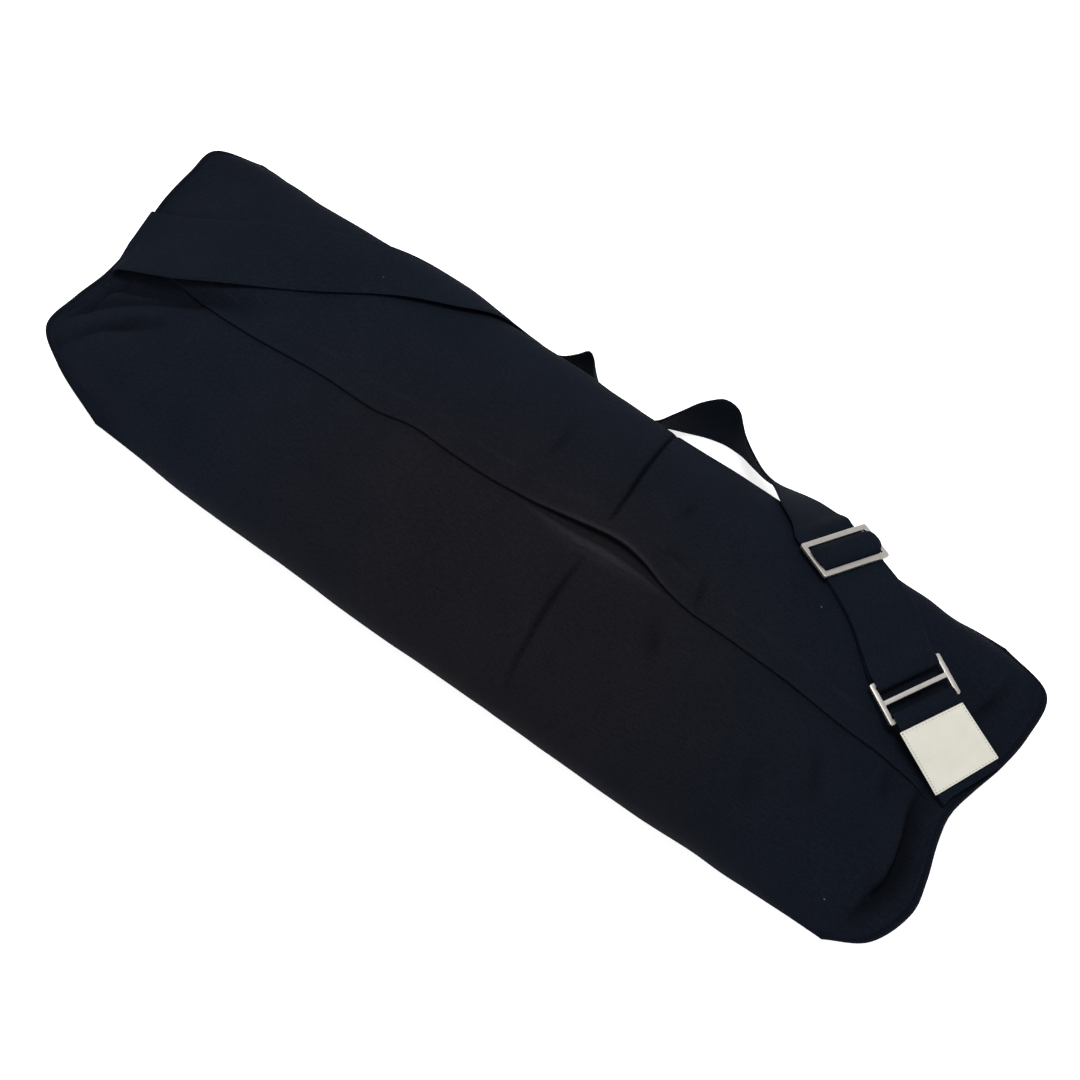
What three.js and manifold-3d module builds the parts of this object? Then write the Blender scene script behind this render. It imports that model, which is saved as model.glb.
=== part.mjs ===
// Yoga tote bag of soft dark cotton, lying on its back with the mouth upward.
// Millimetres. +X runs to the label end, +Y to the far side, +Z up; the floor is Z = 0.
import * as THREE from 'three';
import Module from 'manifold-3d';

const { clamp, degToRad, lerp, smoothstep } = THREE.MathUtils;

// Cloth thickness and the air between neighbouring pieces
const CLOTH = 1.6;
const SEAM_AIR = 0.5;

// Body of the bag
const HALF_LENGTH = 346;
const HALF_WIDTH = 113;
const HEIGHT = 98;
const WIDEST_HEIGHT = 42;
const SEAM_HEIGHT = 52;
const FLOOR_SAG = 5;
const TOP_FULLNESS = 2.2;
const BASE_FULLNESS = 2.8;
const END_ZONE = 135;
const FLANGE = 8;
const END_BLEND = 0.45;
const FAR_WAIST = 0.025;
const WAIST_X = 240;
const WAIST_REACH = 50;
const LIP = CLOTH + SEAM_AIR / 2;

// Sewn ends in plan, from the near fold to the far fold in even steps
const LABEL_END = [
  { x: 304, y: -113 },
  { x: 337, y: -96 },
  { x: 345, y: -67 },
  { x: 343, y: -45 },
  { x: 337, y: -22 },
  { x: 331, y: -2 },
  { x: 336, y: 20 },
  { x: 341, y: 42 },
  { x: 346, y: 70 },
  { x: 341, y: 98 },
  { x: 300, y: 111 },
];
const STRAP_END = [
  { x: -276, y: -113 },
  { x: -318, y: -93 },
  { x: -342, y: -75 },
  { x: -345, y: -48 },
  { x: -331, y: -22 },
  { x: -338, y: 2 },
  { x: -344, y: 24 },
  { x: -346, y: 48 },
  { x: -347, y: 76 },
  { x: -344, y: 99 },
  { x: -308, y: 112 },
];

// Slit along the top: the flap's edge in plan, the lap under it and the gaping mouth
const FLAP_EDGE = [
  { x: -346, y: -6 },
  { x: -300, y: -9 },
  { x: -264, y: -13.5 },
  { x: -232, y: -17 },
  { x: -201, y: -15.5 },
  { x: -155, y: -10.5 },
  { x: -110, y: -10 },
  { x: -80, y: -4.5 },
  { x: -48, y: -5 },
  { x: -13, y: -4 },
  { x: 13, y: -1 },
  { x: 42, y: 4.5 },
  { x: 70, y: 9 },
  { x: 92, y: 6.5 },
  { x: 113, y: 0 },
  { x: 133, y: -3.5 },
  { x: 161, y: -4 },
  { x: 200, y: -5.5 },
  { x: 240, y: -8 },
  { x: 267, y: -7 },
  { x: 294, y: -4 },
  { x: 346, y: -1 },
];
const MOUTH_X = 70;
const MOUTH_HALF = 125;
const MOUTH_GAP = 10;
const MOUTH_LIFT = 2;
const MOUTH_DIP = 3;
const LAP = 14;
const LAP_AIR = 0.9;
const LAP_ENDS = 34;
const LAP_FULL = 70;
const SLIT = 0.8;
const TUCK_REACH = 34;
const LIFT_REACH = 45;

// Soft dents of the upper cloth: a line in plan, its half width and depth
const DENTS = [
  { x0: 48, y0: 92, x1: 62, y1: 30, half: 12, depth: 2.5 },
  { x0: 300, y0: 86, x1: 326, y1: 74, half: 10, depth: 3 },
  { x0: 258, y0: -62, x1: 300, y1: -58, half: 12, depth: 3 },
  { x0: -322, y0: -62, x1: -270, y1: -52, half: 12, depth: 3 },
];

// Seam that closes each flange
const SEAM_IN = 1.2;
const SEAM_OUT = 5.5;
const SEAM_SIDE = 0.99;
const SEAM_BITE = 0.5;
const SEAM_STEPS = 36;

// Mesh fineness
const LENGTH_STEPS = 36;
const AROUND_STEPS = 37;
const AROUND_EASE = 0.55;
const END_GATHER = 1.35;

// Strap: sections on the body, by length along the bag and girth around it from the top line
const STRAP_RISE = 2;
const STRAP_LEFT = [
  { x: -338, girth: 6, heading: 14, width: 54 },
  { x: -276, girth: 18, heading: 23, width: 57 },
  { x: -217, girth: 50, heading: 28, width: 53 },
  { x: -163, girth: 90, heading: 34, width: 52 },
  { x: -125, girth: 112.5, heading: 35, width: 51 },
  { x: -104, girth: 134, heading: 33, width: 47 },
];

// Strap: sections standing on edge behind the bag, by centre and outward lean
const STANDING_WIDTH = 44;
const STRAP_STANDING = [
  { x: -72, y: 120.5, z: 27, lean: -12 },
  { x: -57, y: 123, z: 23, lean: -10 },
  { x: -48, y: 129, z: 22.5, lean: -2 },
  { x: -42, y: 132, z: 22.5, lean: 0 },
  { x: -37, y: 129, z: 22.5, lean: -8 },
  { x: -26, y: 121, z: 22.3, lean: -14 },
  { x: 0, y: 120, z: 22.3, lean: -14 },
  { x: 22, y: 121.5, z: 22.3, lean: -15 },
  { x: 36, y: 133, z: 22.5, lean: -8 },
  { x: 48, y: 146, z: 22.5, lean: 13 },
  { x: 57, y: 151, z: 22.5, lean: 19 },
  { x: 65, y: 149, z: 22.5, lean: 13 },
  { x: 78, y: 143, z: 22.5, lean: 2 },
  { x: 92, y: 138, z: 22.5, lean: -8 },
  { x: 107, y: 133, z: 25, lean: -18 },
  { x: 123, y: 127, z: 35, lean: -30 },
];

// Strap: sections that climb to the slider, by centre and direction across
const CLIMB_WIDTH = 50;
const STRAP_CLIMB = [
  { x: 142.5, y: 117, z: 56.2, across: [0.31, 0.63, -0.71] },
  { x: 157.8, y: 108.2, z: 68.6, across: [0.34, 0.73, -0.59] },
];

// Three-bar slides: one sets the strap's length, one is the end ring
const SLIDE_WIDTH = 53;
const SLIDE_HEIGHT = 28;
const SLIDE_BAR = 4;
const SLIDE_THICK = 2.4;
const SLIDE_SIDE = 3.2;
const SLIDE_CORNER = 1.5;
const SLOT_CORNER = 0.8;
const CORNER_STEPS = 4;
const SLIDER_AT = {
  x: 187.6,
  y: 92.4,
  z: 86.7,
  across: [0.426, 0.83, -0.338],
  along: [-0.912, 0.382, -0.152],
};
const RING_AT = {
  x: 273,
  y: 39,
  z: 94,
  across: [0.423, 0.886, -0.187],
  along: [-0.862, 0.493, 0.123],
};
const HARDWARE_WIDTH = 45.6;

// Strap through the slider, then around the ring's upper bar, then back to the centre bar
const OVER_SLIDER = [
  { along: 22, out: -2.6 },
  { along: 15, out: -3 },
  { along: 12, out: -3 },
  { along: 9.6, out: -2.8 },
  { along: 8.6, out: -0.8 },
  { along: 7.8, out: 1.4 },
  { along: 6, out: 3.4 },
  { along: 3.2, out: 4.4 },
  { along: 0, out: 4.6 },
  { along: -3.2, out: 4.4 },
  { along: -6, out: 3.4 },
  { along: -7.8, out: 1.4 },
  { along: -8.6, out: -0.8 },
  { along: -9.6, out: -2.8 },
  { along: -12, out: -3 },
  { along: -15, out: -3 },
];
const AROUND_RING = [
  { along: 19, out: 1.8 },
  { along: 14.5, out: 2.6 },
  { along: 11, out: 2.8 },
  { along: 8.7, out: 1.9 },
  { along: 8, out: 0 },
  { along: 8.7, out: -1.9 },
  { along: 11, out: -2.8 },
  { along: 14.5, out: -2.8 },
  { along: 19, out: -2 },
];
const TO_CENTRE_BAR = [
  { along: -15, out: -4.9 },
  { along: -12, out: -4.9 },
  { along: -7, out: -4.4 },
  { along: -2, out: -2.8 },
  { along: 1, out: -2.8 },
  { along: 3.3, out: -1.9 },
  { along: 4, out: 0 },
  { along: 3.4, out: 2 },
  { along: 1.2, out: 2.7 },
  { along: -1.5, out: 2.6 },
];
const DOUBLED = { x: 230, girth: 69.5, heading: -34, width: 48, under: 1.9, over: 4.1 };

// Ring tab and label, by length along the bag and girth from the top line
const TAB_WIDTH = 44;
const TAB_END = { x: 330, girth: 22.5, heading: -22 };
const TAB_LOOP = [
  { along: -17, out: 1.8 },
  { along: -14, out: 2.7 },
  { along: -11, out: 2.8 },
  { along: -8.7, out: 1.9 },
  { along: -8, out: 0 },
  { along: -8.7, out: -1.9 },
  { along: -11, out: -2.8 },
  { along: -14, out: -2.8 },
];
const TAB_UNDER = 1.9;
const TAB_OVER = 4.5;
const LABEL_CLOTH = 0.9;
const LABEL_WIDTH = 49;
const LABEL_STEPS = 8;
const LABEL_FROM = 0.01;
const LABEL_TO = 0.89;
const LABEL_RISE = 0.9;

// Strip fineness
const ACROSS_STEPS = 6;
const DRAPED_STEPS = 18;
const STRIP_STEP = 11;

const COTTON = { color: 0x17171b, roughness: 0.95, metalness: 0 };
const NICKEL = { color: 0xb9b4ac, roughness: 0.35, metalness: 1 };
const CREAM = { color: 0xdedccf, roughness: 0.9, metalness: 0 };

const wasm = await Module();
wasm.setup();

function seamCurve(rows) {
  return new THREE.CatmullRomCurve3(rows.map((row) => new THREE.Vector3(row.x, row.y, 0)));
}

const LABEL_SEAM = seamCurve(LABEL_END);
const STRAP_SEAM = seamCurve(STRAP_END);

// Plan position for a share of the length (-1 to 1) and of the width (-1 near, 1 far)
function plan(length, side) {
  const seam = length < 0 ? STRAP_SEAM : LABEL_SEAM;
  const end = seam.getPoint((clamp(side, -1, 1) + 1) / 2);
  const pull = smoothstep(Math.abs(length), END_BLEND, 1);
  const toWaist = (Math.abs(length) * HALF_LENGTH - WAIST_X) / WAIST_REACH;
  const waist = side > 0 ? FAR_WAIST * Math.exp(-(toWaist ** 2)) : 0;
  return {
    x: HALF_LENGTH * length + pull * (end.x - Math.sign(length) * HALF_LENGTH),
    y: lerp(HALF_WIDTH * side, end.y, pull) * (1 - waist),
  };
}

// Rounded section: side and height shares for a turn from the top line to the near side
function section(turn) {
  const fullness = Math.cos(turn) >= 0 ? TOP_FULLNESS : BASE_FULLNESS;
  const round = (share) => Math.sign(share) * Math.abs(share) ** (2 / fullness);
  return { side: -round(Math.sin(turn)), rise: round(Math.cos(turn)) };
}

function turnAt(y) {
  const share = y / HALF_WIDTH;
  return -Math.sign(share) * Math.asin(Math.abs(share) ** (TOP_FULLNESS / 2));
}

function dentAt(x, y) {
  let depth = 0;
  for (const dent of DENTS) {
    const from = new THREE.Vector3(dent.x0, dent.y0, 0);
    const to = new THREE.Vector3(dent.x1, dent.y1, 0);
    const point = new THREE.Vector3(x, y, 0);
    const near = new THREE.Line3(from, to).closestPointToPoint(point, true, new THREE.Vector3());
    depth += dent.depth * Math.exp(-((near.distanceTo(point) / dent.half) ** 2));
  }
  return depth;
}

// Point of the body's cloth, a given depth below its outer face
function skin(length, turn, depth = 0) {
  const { side, rise } = section(turn);
  const { x, y } = plan(length, side * (1 - depth / HALF_WIDTH));
  const fromSeam = (1 - Math.abs(length)) * HALF_LENGTH;
  const fill = Math.sin(Math.PI / 2 * clamp((fromSeam - FLANGE) / (END_ZONE - FLANGE), 0, 1));
  const middle = lerp(WIDEST_HEIGHT, SEAM_HEIGHT, smoothstep(Math.abs(length), END_BLEND, 1));
  const full = rise > 0 ? HEIGHT - WIDEST_HEIGHT - LIP : WIDEST_HEIGHT + FLOOR_SAG - LIP;
  const dent = rise > 0 ? dentAt(x, y) * rise * fill : 0;
  const z = middle + rise * (LIP + full * fill - depth) - dent;
  return new THREE.Vector3(x, y, Math.max(z, depth));
}

function gape(x) {
  return 0.5 + 0.5 * Math.cos(Math.PI * clamp((x - MOUTH_X) / MOUTH_HALF, -1, 1));
}

// Smooth line through the rows of the flap's edge
function flapEdge(x) {
  const last = FLAP_EDGE.length - 1;
  const row = (i) => FLAP_EDGE[clamp(i, 0, last)];
  const slope = (i) => (row(i + 1).y - row(i - 1).y) / (row(i + 1).x - row(i - 1).x);
  const at = clamp(FLAP_EDGE.findIndex((place) => place.x >= x) - 1, 0, last - 1);
  const span = row(at + 1).x - row(at).x;
  const t = (x - row(at).x) / span;
  const eased = t * t * (3 - 2 * t);
  const leaving = span * slope(at) * t * (1 - t) ** 2;
  const arriving = span * slope(at + 1) * t * t * (1 - t);
  return lerp(row(at).y, row(at + 1).y, eased) + leaving - arriving;
}

// Cloth of the wrap, from the lapped edge under the flap, around the bag, to the flap's edge
function wrapPoint(length, share, depth) {
  const x = HALF_LENGTH * length;
  const fromSeam = HALF_LENGTH - Math.abs(x);
  const open = gape(x);
  const edge = flapEdge(x);
  const lap = lerp(lerp(-SLIT, LAP, smoothstep(fromSeam, LAP_ENDS, LAP_FULL)), -MOUTH_GAP, open);
  const eased = share - AROUND_EASE * Math.sin(2 * Math.PI * share) / (2 * Math.PI);
  const turn = lerp(turnAt(edge + lap), 2 * Math.PI + turnAt(edge), eased);
  const point = skin(length, turn, depth);
  if (share < 0.5 && section(turn).rise > 0) {
    const sewn = smoothstep(fromSeam, FLANGE, LAP_ENDS);
    const tucked = 1 - smoothstep(edge - point.y, 0, TUCK_REACH);
    point.z -= tucked * ((CLOTH + LAP_AIR) * sewn + MOUTH_DIP * open);
  }
  if (share > 0.5 && section(turn).rise > 0) {
    point.z += MOUTH_LIFT * open * (1 - smoothstep(point.y - edge, 0, LIFT_REACH));
  }
  return point;
}

// Closed solid between two facing grids of points
function slab(upper, lower) {
  const rows = upper.length;
  const cols = upper[0].length;
  const points = [...upper.flat(), ...lower.flat()];
  const high = (i, j) => i * cols + j;
  const low = (i, j) => rows * cols + i * cols + j;
  const index = [];
  const quad = (a, b, c, d) => index.push(a, b, c, a, c, d);
  for (let i = 0; i + 1 < rows; i += 1) {
    for (let j = 0; j + 1 < cols; j += 1) {
      quad(high(i, j), high(i + 1, j), high(i + 1, j + 1), high(i, j + 1));
      quad(low(i, j), low(i, j + 1), low(i + 1, j + 1), low(i + 1, j));
    }
    quad(high(i, 0), low(i, 0), low(i + 1, 0), high(i + 1, 0));
    quad(high(i, cols - 1), high(i + 1, cols - 1), low(i + 1, cols - 1), low(i, cols - 1));
  }
  for (let j = 0; j + 1 < cols; j += 1) {
    quad(high(0, j), high(0, j + 1), low(0, j + 1), low(0, j));
    quad(high(rows - 1, j), low(rows - 1, j), low(rows - 1, j + 1), high(rows - 1, j + 1));
  }
  let volume = 0;
  for (let k = 0; k < index.length; k += 3) {
    const [a, b, c] = index.slice(k, k + 3).map((at) => points[at]);
    volume += a.dot(new THREE.Vector3().crossVectors(b, c));
  }
  const turned = volume < 0 ? index.reverse() : index;
  const geometry = new THREE.BufferGeometry().setFromPoints(points);
  geometry.setIndex(turned);
  return geometry;
}

function toSolid(geometry) {
  const vertProperties = Float32Array.from(geometry.getAttribute('position').array);
  const triVerts = Uint32Array.from(geometry.getIndex().array);
  return new wasm.Manifold(new wasm.Mesh({ numProp: 3, vertProperties, triVerts }));
}

function toGeometry(solid) {
  const mesh = solid.getMesh();
  const geometry = new THREE.BufferGeometry();
  const places = new THREE.BufferAttribute(Float32Array.from(mesh.vertProperties), 3);
  geometry.setAttribute('position', places);
  geometry.setIndex(Array.from(mesh.triVerts));
  return geometry;
}

function grid(rows, cols, pointAt) {
  const line = (i) => Array.from({ length: cols }, (unused, j) => pointAt(i / (rows - 1), j / (cols - 1)));
  return Array.from({ length: rows }, (unused, i) => line(i));
}

// Length shares gather toward the sewn ends
function lengthShare(step) {
  const even = 2 * step - 1;
  return Math.sign(even) * (1 - (1 - Math.abs(even)) ** END_GATHER);
}

function bodyGeometry() {
  const cloth = (depth) => grid(LENGTH_STEPS + 1, AROUND_STEPS + 1, (i, j) => {
    return wrapPoint(lengthShare(i), j, depth);
  });
  let solid = toSolid(slab(cloth(0), cloth(CLOTH)));
  for (const end of [-1, 1]) {
    const half = SEAM_AIR / 2 + SEAM_BITE;
    const strip = (offset) => grid(SEAM_STEPS + 1, 2, (i, j) => {
      const share = end * (1 - lerp(SEAM_IN, SEAM_OUT, j) / HALF_LENGTH);
      const { x, y } = plan(share, lerp(-SEAM_SIDE, SEAM_SIDE, i));
      return new THREE.Vector3(x, y, SEAM_HEIGHT + offset);
    });
    solid = solid.add(toSolid(slab(strip(half), strip(-half))));
  }
  return toGeometry(solid);
}

// Girth around the middle section, from the top line down the far side
const GIRTH_STEPS = 400;
const HALVINGS = 40;
const GIRTH = [0];
for (let i = 1; i <= GIRTH_STEPS; i += 1) {
  const step = Math.PI / GIRTH_STEPS;
  GIRTH.push(GIRTH[i - 1] + skin(0, -i * step).distanceTo(skin(0, -(i - 1) * step)));
}

function turnOfGirth(girth) {
  const size = Math.abs(girth);
  const at = GIRTH.findIndex((value) => value >= size);
  const share = at < 1 ? 0 : at - 1 + (size - GIRTH[at - 1]) / (GIRTH[at] - GIRTH[at - 1]);
  return -Math.sign(girth) * share * Math.PI / GIRTH_STEPS;
}

function lengthAt(x, side) {
  let low = -1;
  let high = 1;
  for (let i = 0; i < HALVINGS; i += 1) {
    const mid = (low + high) / 2;
    if (plan(mid, side).x < x) {
      low = mid;
    } else {
      high = mid;
    }
  }
  return (low + high) / 2;
}

// Point a given rise above the body, by length along the bag and girth around it
function onBody(x, girth, rise) {
  const turn = turnOfGirth(girth);
  const length = lengthAt(x, section(turn).side);
  const step = 0.004;
  const along = skin(Math.min(length + step, 1), turn).sub(skin(Math.max(length - step, -1), turn));
  const around = skin(length, turn - step).sub(skin(length, turn + step));
  const out = along.cross(around).normalize();
  return skin(length, turn).addScaledVector(out, rise);
}

function acrossShares() {
  return Array.from({ length: ACROSS_STEPS + 1 }, (unused, k) => k / ACROSS_STEPS - 0.5);
}

// Strip section that follows the body's curve
function draped(row, rise) {
  const heading = degToRad(row.heading);
  return acrossShares().map((share) => {
    const offset = share * row.width;
    return onBody(row.x - Math.sin(heading) * offset, row.girth + Math.cos(heading) * offset, rise);
  });
}

// Strip section that stays straight, tangent to the body at its middle
function bridged(row, width, rise) {
  const heading = degToRad(row.heading);
  const reach = 4;
  const dx = -Math.sin(heading) * reach;
  const dg = Math.cos(heading) * reach;
  const centre = onBody(row.x, row.girth, rise);
  const before = onBody(row.x - dx, row.girth - dg, rise);
  const across = onBody(row.x + dx, row.girth + dg, rise).sub(before).normalize();
  return acrossShares().map((share) => centre.clone().addScaledVector(across, share * width));
}

function drapedRun(rows, rise, steps) {
  const places = rows.map((row) => new THREE.Vector3(row.x, row.girth, row.heading));
  const path = new THREE.CatmullRomCurve3(places);
  const widths = new THREE.CatmullRomCurve3(rows.map((row) => new THREE.Vector3(row.width, 0, 0)));
  return Array.from({ length: steps + 1 }, (unused, i) => {
    const at = path.getPoint(i / steps);
    const width = widths.getPoint(i / steps).x;
    return draped({ x: at.x, girth: at.y, heading: at.z, width }, rise);
  });
}

// Strip sections standing on edge, upper edge first
function standingRun(rows) {
  const path = new THREE.CatmullRomCurve3(rows.map((row) => new THREE.Vector3(row.x, row.y, row.z)));
  return rows.map((row, i) => {
    const heading = path.getTangent(i / (rows.length - 1)).setZ(0).normalize();
    const outward = new THREE.Vector3(-heading.y, heading.x, 0);
    const lean = degToRad(row.lean);
    const down = new THREE.Vector3(0, 0, -Math.cos(lean)).addScaledVector(outward, -Math.sin(lean));
    const centre = new THREE.Vector3(row.x, row.y, row.z);
    return acrossShares().map((share) => centre.clone().addScaledVector(down, share * STANDING_WIDTH));
  });
}

// Strip section about its centre
function climbing(row) {
  const centre = new THREE.Vector3(row.x, row.y, row.z);
  const across = new THREE.Vector3(...row.across).normalize();
  return acrossShares().map((share) => centre.clone().addScaledVector(across, share * CLIMB_WIDTH));
}

// Axes of a slide: across the strap, along it and outward
function slideAxes(place) {
  const across = new THREE.Vector3(...place.across).normalize();
  const out = across.clone().cross(new THREE.Vector3(...place.along)).normalize();
  const along = out.clone().cross(across).normalize();
  return { across, along, out, centre: new THREE.Vector3(place.x, place.y, place.z) };
}

function threaded(place, rows, width) {
  const axes = slideAxes(place);
  return rows.map((row) => {
    const middle = axes.centre.clone().addScaledVector(axes.along, row.along);
    middle.addScaledVector(axes.out, row.out);
    return acrossShares().map((share) => middle.clone().addScaledVector(axes.across, share * width));
  });
}

// Even strip through given sections, each section a row of points across the strip
function strip(sections, thickness) {
  const rails = sections[0].map((unused, k) => {
    return new THREE.CatmullRomCurve3(sections.map((points) => points[k]), false, 'centripetal');
  });
  const spans = sections.length - 1;
  const middle = Math.round(ACROSS_STEPS / 2);
  const rows = [];
  for (let i = 0; i < spans; i += 1) {
    const length = sections[i][middle].distanceTo(sections[i + 1][middle]);
    const parts = Math.max(1, Math.round(length / STRIP_STEP));
    for (let part = 0; part < parts; part += 1) {
      rows.push(rails.map((rail) => rail.getPoint((i + part / parts) / spans)));
    }
  }
  rows.push(sections[spans].map((point) => point.clone()));
  return slab(offsetRows(rows, thickness / 2), offsetRows(rows, -thickness / 2));
}

function offsetRows(rows, offset) {
  const last = rows.length - 1;
  return rows.map((points, i) => points.map((point, k) => {
    const before = rows[Math.max(i - 1, 0)][k];
    const after = rows[Math.min(i + 1, last)][k];
    const along = after.clone().sub(before);
    const across = points[Math.min(k + 1, ACROSS_STEPS)].clone().sub(points[Math.max(k - 1, 0)]);
    return point.clone().addScaledVector(along.cross(across).normalize(), offset);
  }));
}

function strapGeometry() {
  const sections = [
    ...drapedRun(STRAP_LEFT, STRAP_RISE, DRAPED_STEPS),
    ...standingRun(STRAP_STANDING),
    ...STRAP_CLIMB.map(climbing),
    ...threaded(SLIDER_AT, OVER_SLIDER, HARDWARE_WIDTH),
    bridged(DOUBLED, DOUBLED.width, DOUBLED.over),
    ...threaded(RING_AT, AROUND_RING, HARDWARE_WIDTH),
    bridged(DOUBLED, DOUBLED.width, DOUBLED.under),
    ...threaded(SLIDER_AT, TO_CENTRE_BAR, HARDWARE_WIDTH),
  ];
  return strip(sections, CLOTH);
}

// Tab pulled straight from the sewn end to the ring and back
function tabGeometry() {
  const end = { ...TAB_END, width: TAB_WIDTH };
  const sections = [
    draped(end, TAB_OVER),
    ...threaded(RING_AT, TAB_LOOP, TAB_WIDTH),
    draped(end, TAB_UNDER),
  ];
  return strip(sections, CLOTH);
}

function labelGeometry() {
  const [first] = threaded(RING_AT, TAB_LOOP, LABEL_WIDTH);
  const last = draped({ ...TAB_END, width: LABEL_WIDTH }, TAB_OVER);
  const rows = Array.from({ length: LABEL_STEPS + 1 }, (unused, i) => {
    const share = lerp(LABEL_FROM, LABEL_TO, i / LABEL_STEPS);
    return first.map((point, k) => point.clone().lerp(last[k], share));
  });
  const rise = CLOTH / 2 + LABEL_RISE;
  return slab(offsetRows(rows, rise + LABEL_CLOTH), offsetRows(rows, rise));
}

function roundedBox(path, halfWidth, low, high, corner) {
  path.moveTo(-halfWidth + corner, low);
  path.lineTo(halfWidth - corner, low);
  path.quadraticCurveTo(halfWidth, low, halfWidth, low + corner);
  path.lineTo(halfWidth, high - corner);
  path.quadraticCurveTo(halfWidth, high, halfWidth - corner, high);
  path.lineTo(-halfWidth + corner, high);
  path.quadraticCurveTo(-halfWidth, high, -halfWidth, high - corner);
  path.lineTo(-halfWidth, low + corner);
  path.quadraticCurveTo(-halfWidth, low, -halfWidth + corner, low);
  return path;
}

function slideGeometry(place) {
  const half = SLIDE_HEIGHT / 2;
  const shape = roundedBox(new THREE.Shape(), SLIDE_WIDTH / 2, -half, half, SLIDE_CORNER);
  const slot = SLIDE_WIDTH / 2 - SLIDE_SIDE;
  shape.holes.push(roundedBox(new THREE.Path(), slot, SLIDE_BAR / 2, half - SLIDE_BAR, SLOT_CORNER));
  shape.holes.push(roundedBox(new THREE.Path(), slot, SLIDE_BAR - half, -SLIDE_BAR / 2, SLOT_CORNER));
  const sheet = { depth: SLIDE_THICK, bevelEnabled: false, curveSegments: CORNER_STEPS };
  const geometry = new THREE.ExtrudeGeometry(shape, sheet);
  geometry.translate(0, 0, -SLIDE_THICK / 2);
  const { across, along, out, centre } = slideAxes(place);
  geometry.applyMatrix4(new THREE.Matrix4().makeBasis(across, along, out).setPosition(centre));
  return geometry;
}

function piece(name, geometry, look) {
  const mesh = new THREE.Mesh(geometry, new THREE.MeshStandardMaterial(look));
  mesh.name = name;
  return mesh;
}

const bag = new THREE.Group();
bag.name = 'yoga_tote_bag';
bag.add(
  piece('bag_body', bodyGeometry(), COTTON),
  piece('shoulder_strap', strapGeometry(), COTTON),
  piece('strap_slider', slideGeometry(SLIDER_AT), NICKEL),
  piece('strap_ring', slideGeometry(RING_AT), NICKEL),
  piece('ring_tab', tabGeometry(), COTTON),
  piece('label_patch', labelGeometry(), CREAM),
);

export default bag;
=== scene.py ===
"""Dressed model of a yoga tote bag in soft dark cotton, lying on its back with the mouth upward.

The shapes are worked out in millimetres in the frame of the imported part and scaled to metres
when a mesh is made. +X runs to the label end, +Y to the far side, +Z up; the floor is Z = 0.
"""

import bmesh
import bpy
import numpy as np
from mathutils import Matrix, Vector


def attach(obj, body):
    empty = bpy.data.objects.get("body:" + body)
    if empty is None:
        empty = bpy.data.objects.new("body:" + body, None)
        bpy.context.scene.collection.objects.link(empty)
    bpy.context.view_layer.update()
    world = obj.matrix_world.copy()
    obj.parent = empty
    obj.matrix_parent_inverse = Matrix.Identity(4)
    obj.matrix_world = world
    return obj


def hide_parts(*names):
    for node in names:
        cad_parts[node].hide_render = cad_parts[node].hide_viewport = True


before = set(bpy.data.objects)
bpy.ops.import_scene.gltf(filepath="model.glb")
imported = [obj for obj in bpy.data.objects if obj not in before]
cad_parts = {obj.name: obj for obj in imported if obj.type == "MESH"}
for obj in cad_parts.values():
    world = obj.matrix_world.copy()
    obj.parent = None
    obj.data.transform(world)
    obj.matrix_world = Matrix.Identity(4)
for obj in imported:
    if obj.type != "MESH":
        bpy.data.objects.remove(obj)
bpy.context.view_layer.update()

# Sizes in millimetres, as in the part's source
MM = 0.001
CLOTH = 1.6
SEAM_AIR = 0.5
HALF_LENGTH = 346
HALF_WIDTH = 113
HEIGHT = 98
WIDEST_HEIGHT = 42
SEAM_HEIGHT = 52
FLOOR_SAG = 5
TOP_FULLNESS = 2.2
BASE_FULLNESS = 2.8
END_ZONE = 135
FLANGE = 8
END_BLEND = 0.45
# Where the sides draw in or swell: place along the bag, reach, share on the far side, on the near side
WAISTS = [
    (-263, 50, 0.032, 0), (-40, 45, 0, -0.011), (55, 50, 0.014, 0),
    (225, 28, 0, 0.016), (263, 50, 0.032, 0), (292, 22, 0.012, 0),
]
LIP = CLOTH + SEAM_AIR / 2

# Sewn ends in plan, near fold to far fold: x, y
LABEL_END = [(310.5, -112.9), (334.8, -97), (346, -67), (342.5, -45), (335.5, -22), (332, -2), (336, 20),
             (341.5, 42), (344.5, 69), (340, 100.5), (303, 112)]
STRAP_END = [(-268, -113), (-318.7, -94.2), (-345.2, -75.9), (-344, -48), (-339.5, -22), (-339.5, 2),
             (-342.5, 24), (-346, 48), (-346, 76), (-344, 99), (-308, 110.8)]

# Soft dents of the upper cloth: x0, y0, x1, y1, half width, depth
DENTS = [(48, 92, 62, 30, 12, 2.5), (300, 86, 326, 74, 10, 3), (258, -62, 300, -58, 12, 3),
         (-322, -62, -270, -52, 12, 3)]


def smooth(value, low, high):
    t = np.clip((value - low) / (high - low), 0, 1)
    return t * t * (3 - 2 * t)


def bell(value, half=1.0):
    """Soft hump, one high at nought."""
    return np.exp(-(value / half) ** 2)


def band(distance, size):
    """Soft band by its height and its half width."""
    return size[0] * bell(distance, size[1])


def quarter_round(distance, radius):
    """Rise of a rounded edge, from nought to one over its radius."""
    return np.sqrt(np.clip(1 - (1 - np.minimum(distance / radius, 1)) ** 2, 0, 1))


def unit(vectors):
    return vectors / np.maximum(np.linalg.norm(vectors, axis=-1, keepdims=True), 1e-9)


def measured(points, axis=0):
    """Distance along lines of points, each from nought."""
    steps = np.linalg.norm(np.diff(points, axis=axis), axis=-1)
    return np.concatenate([0 * steps.take([0], axis), np.cumsum(steps, axis)], axis)


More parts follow.
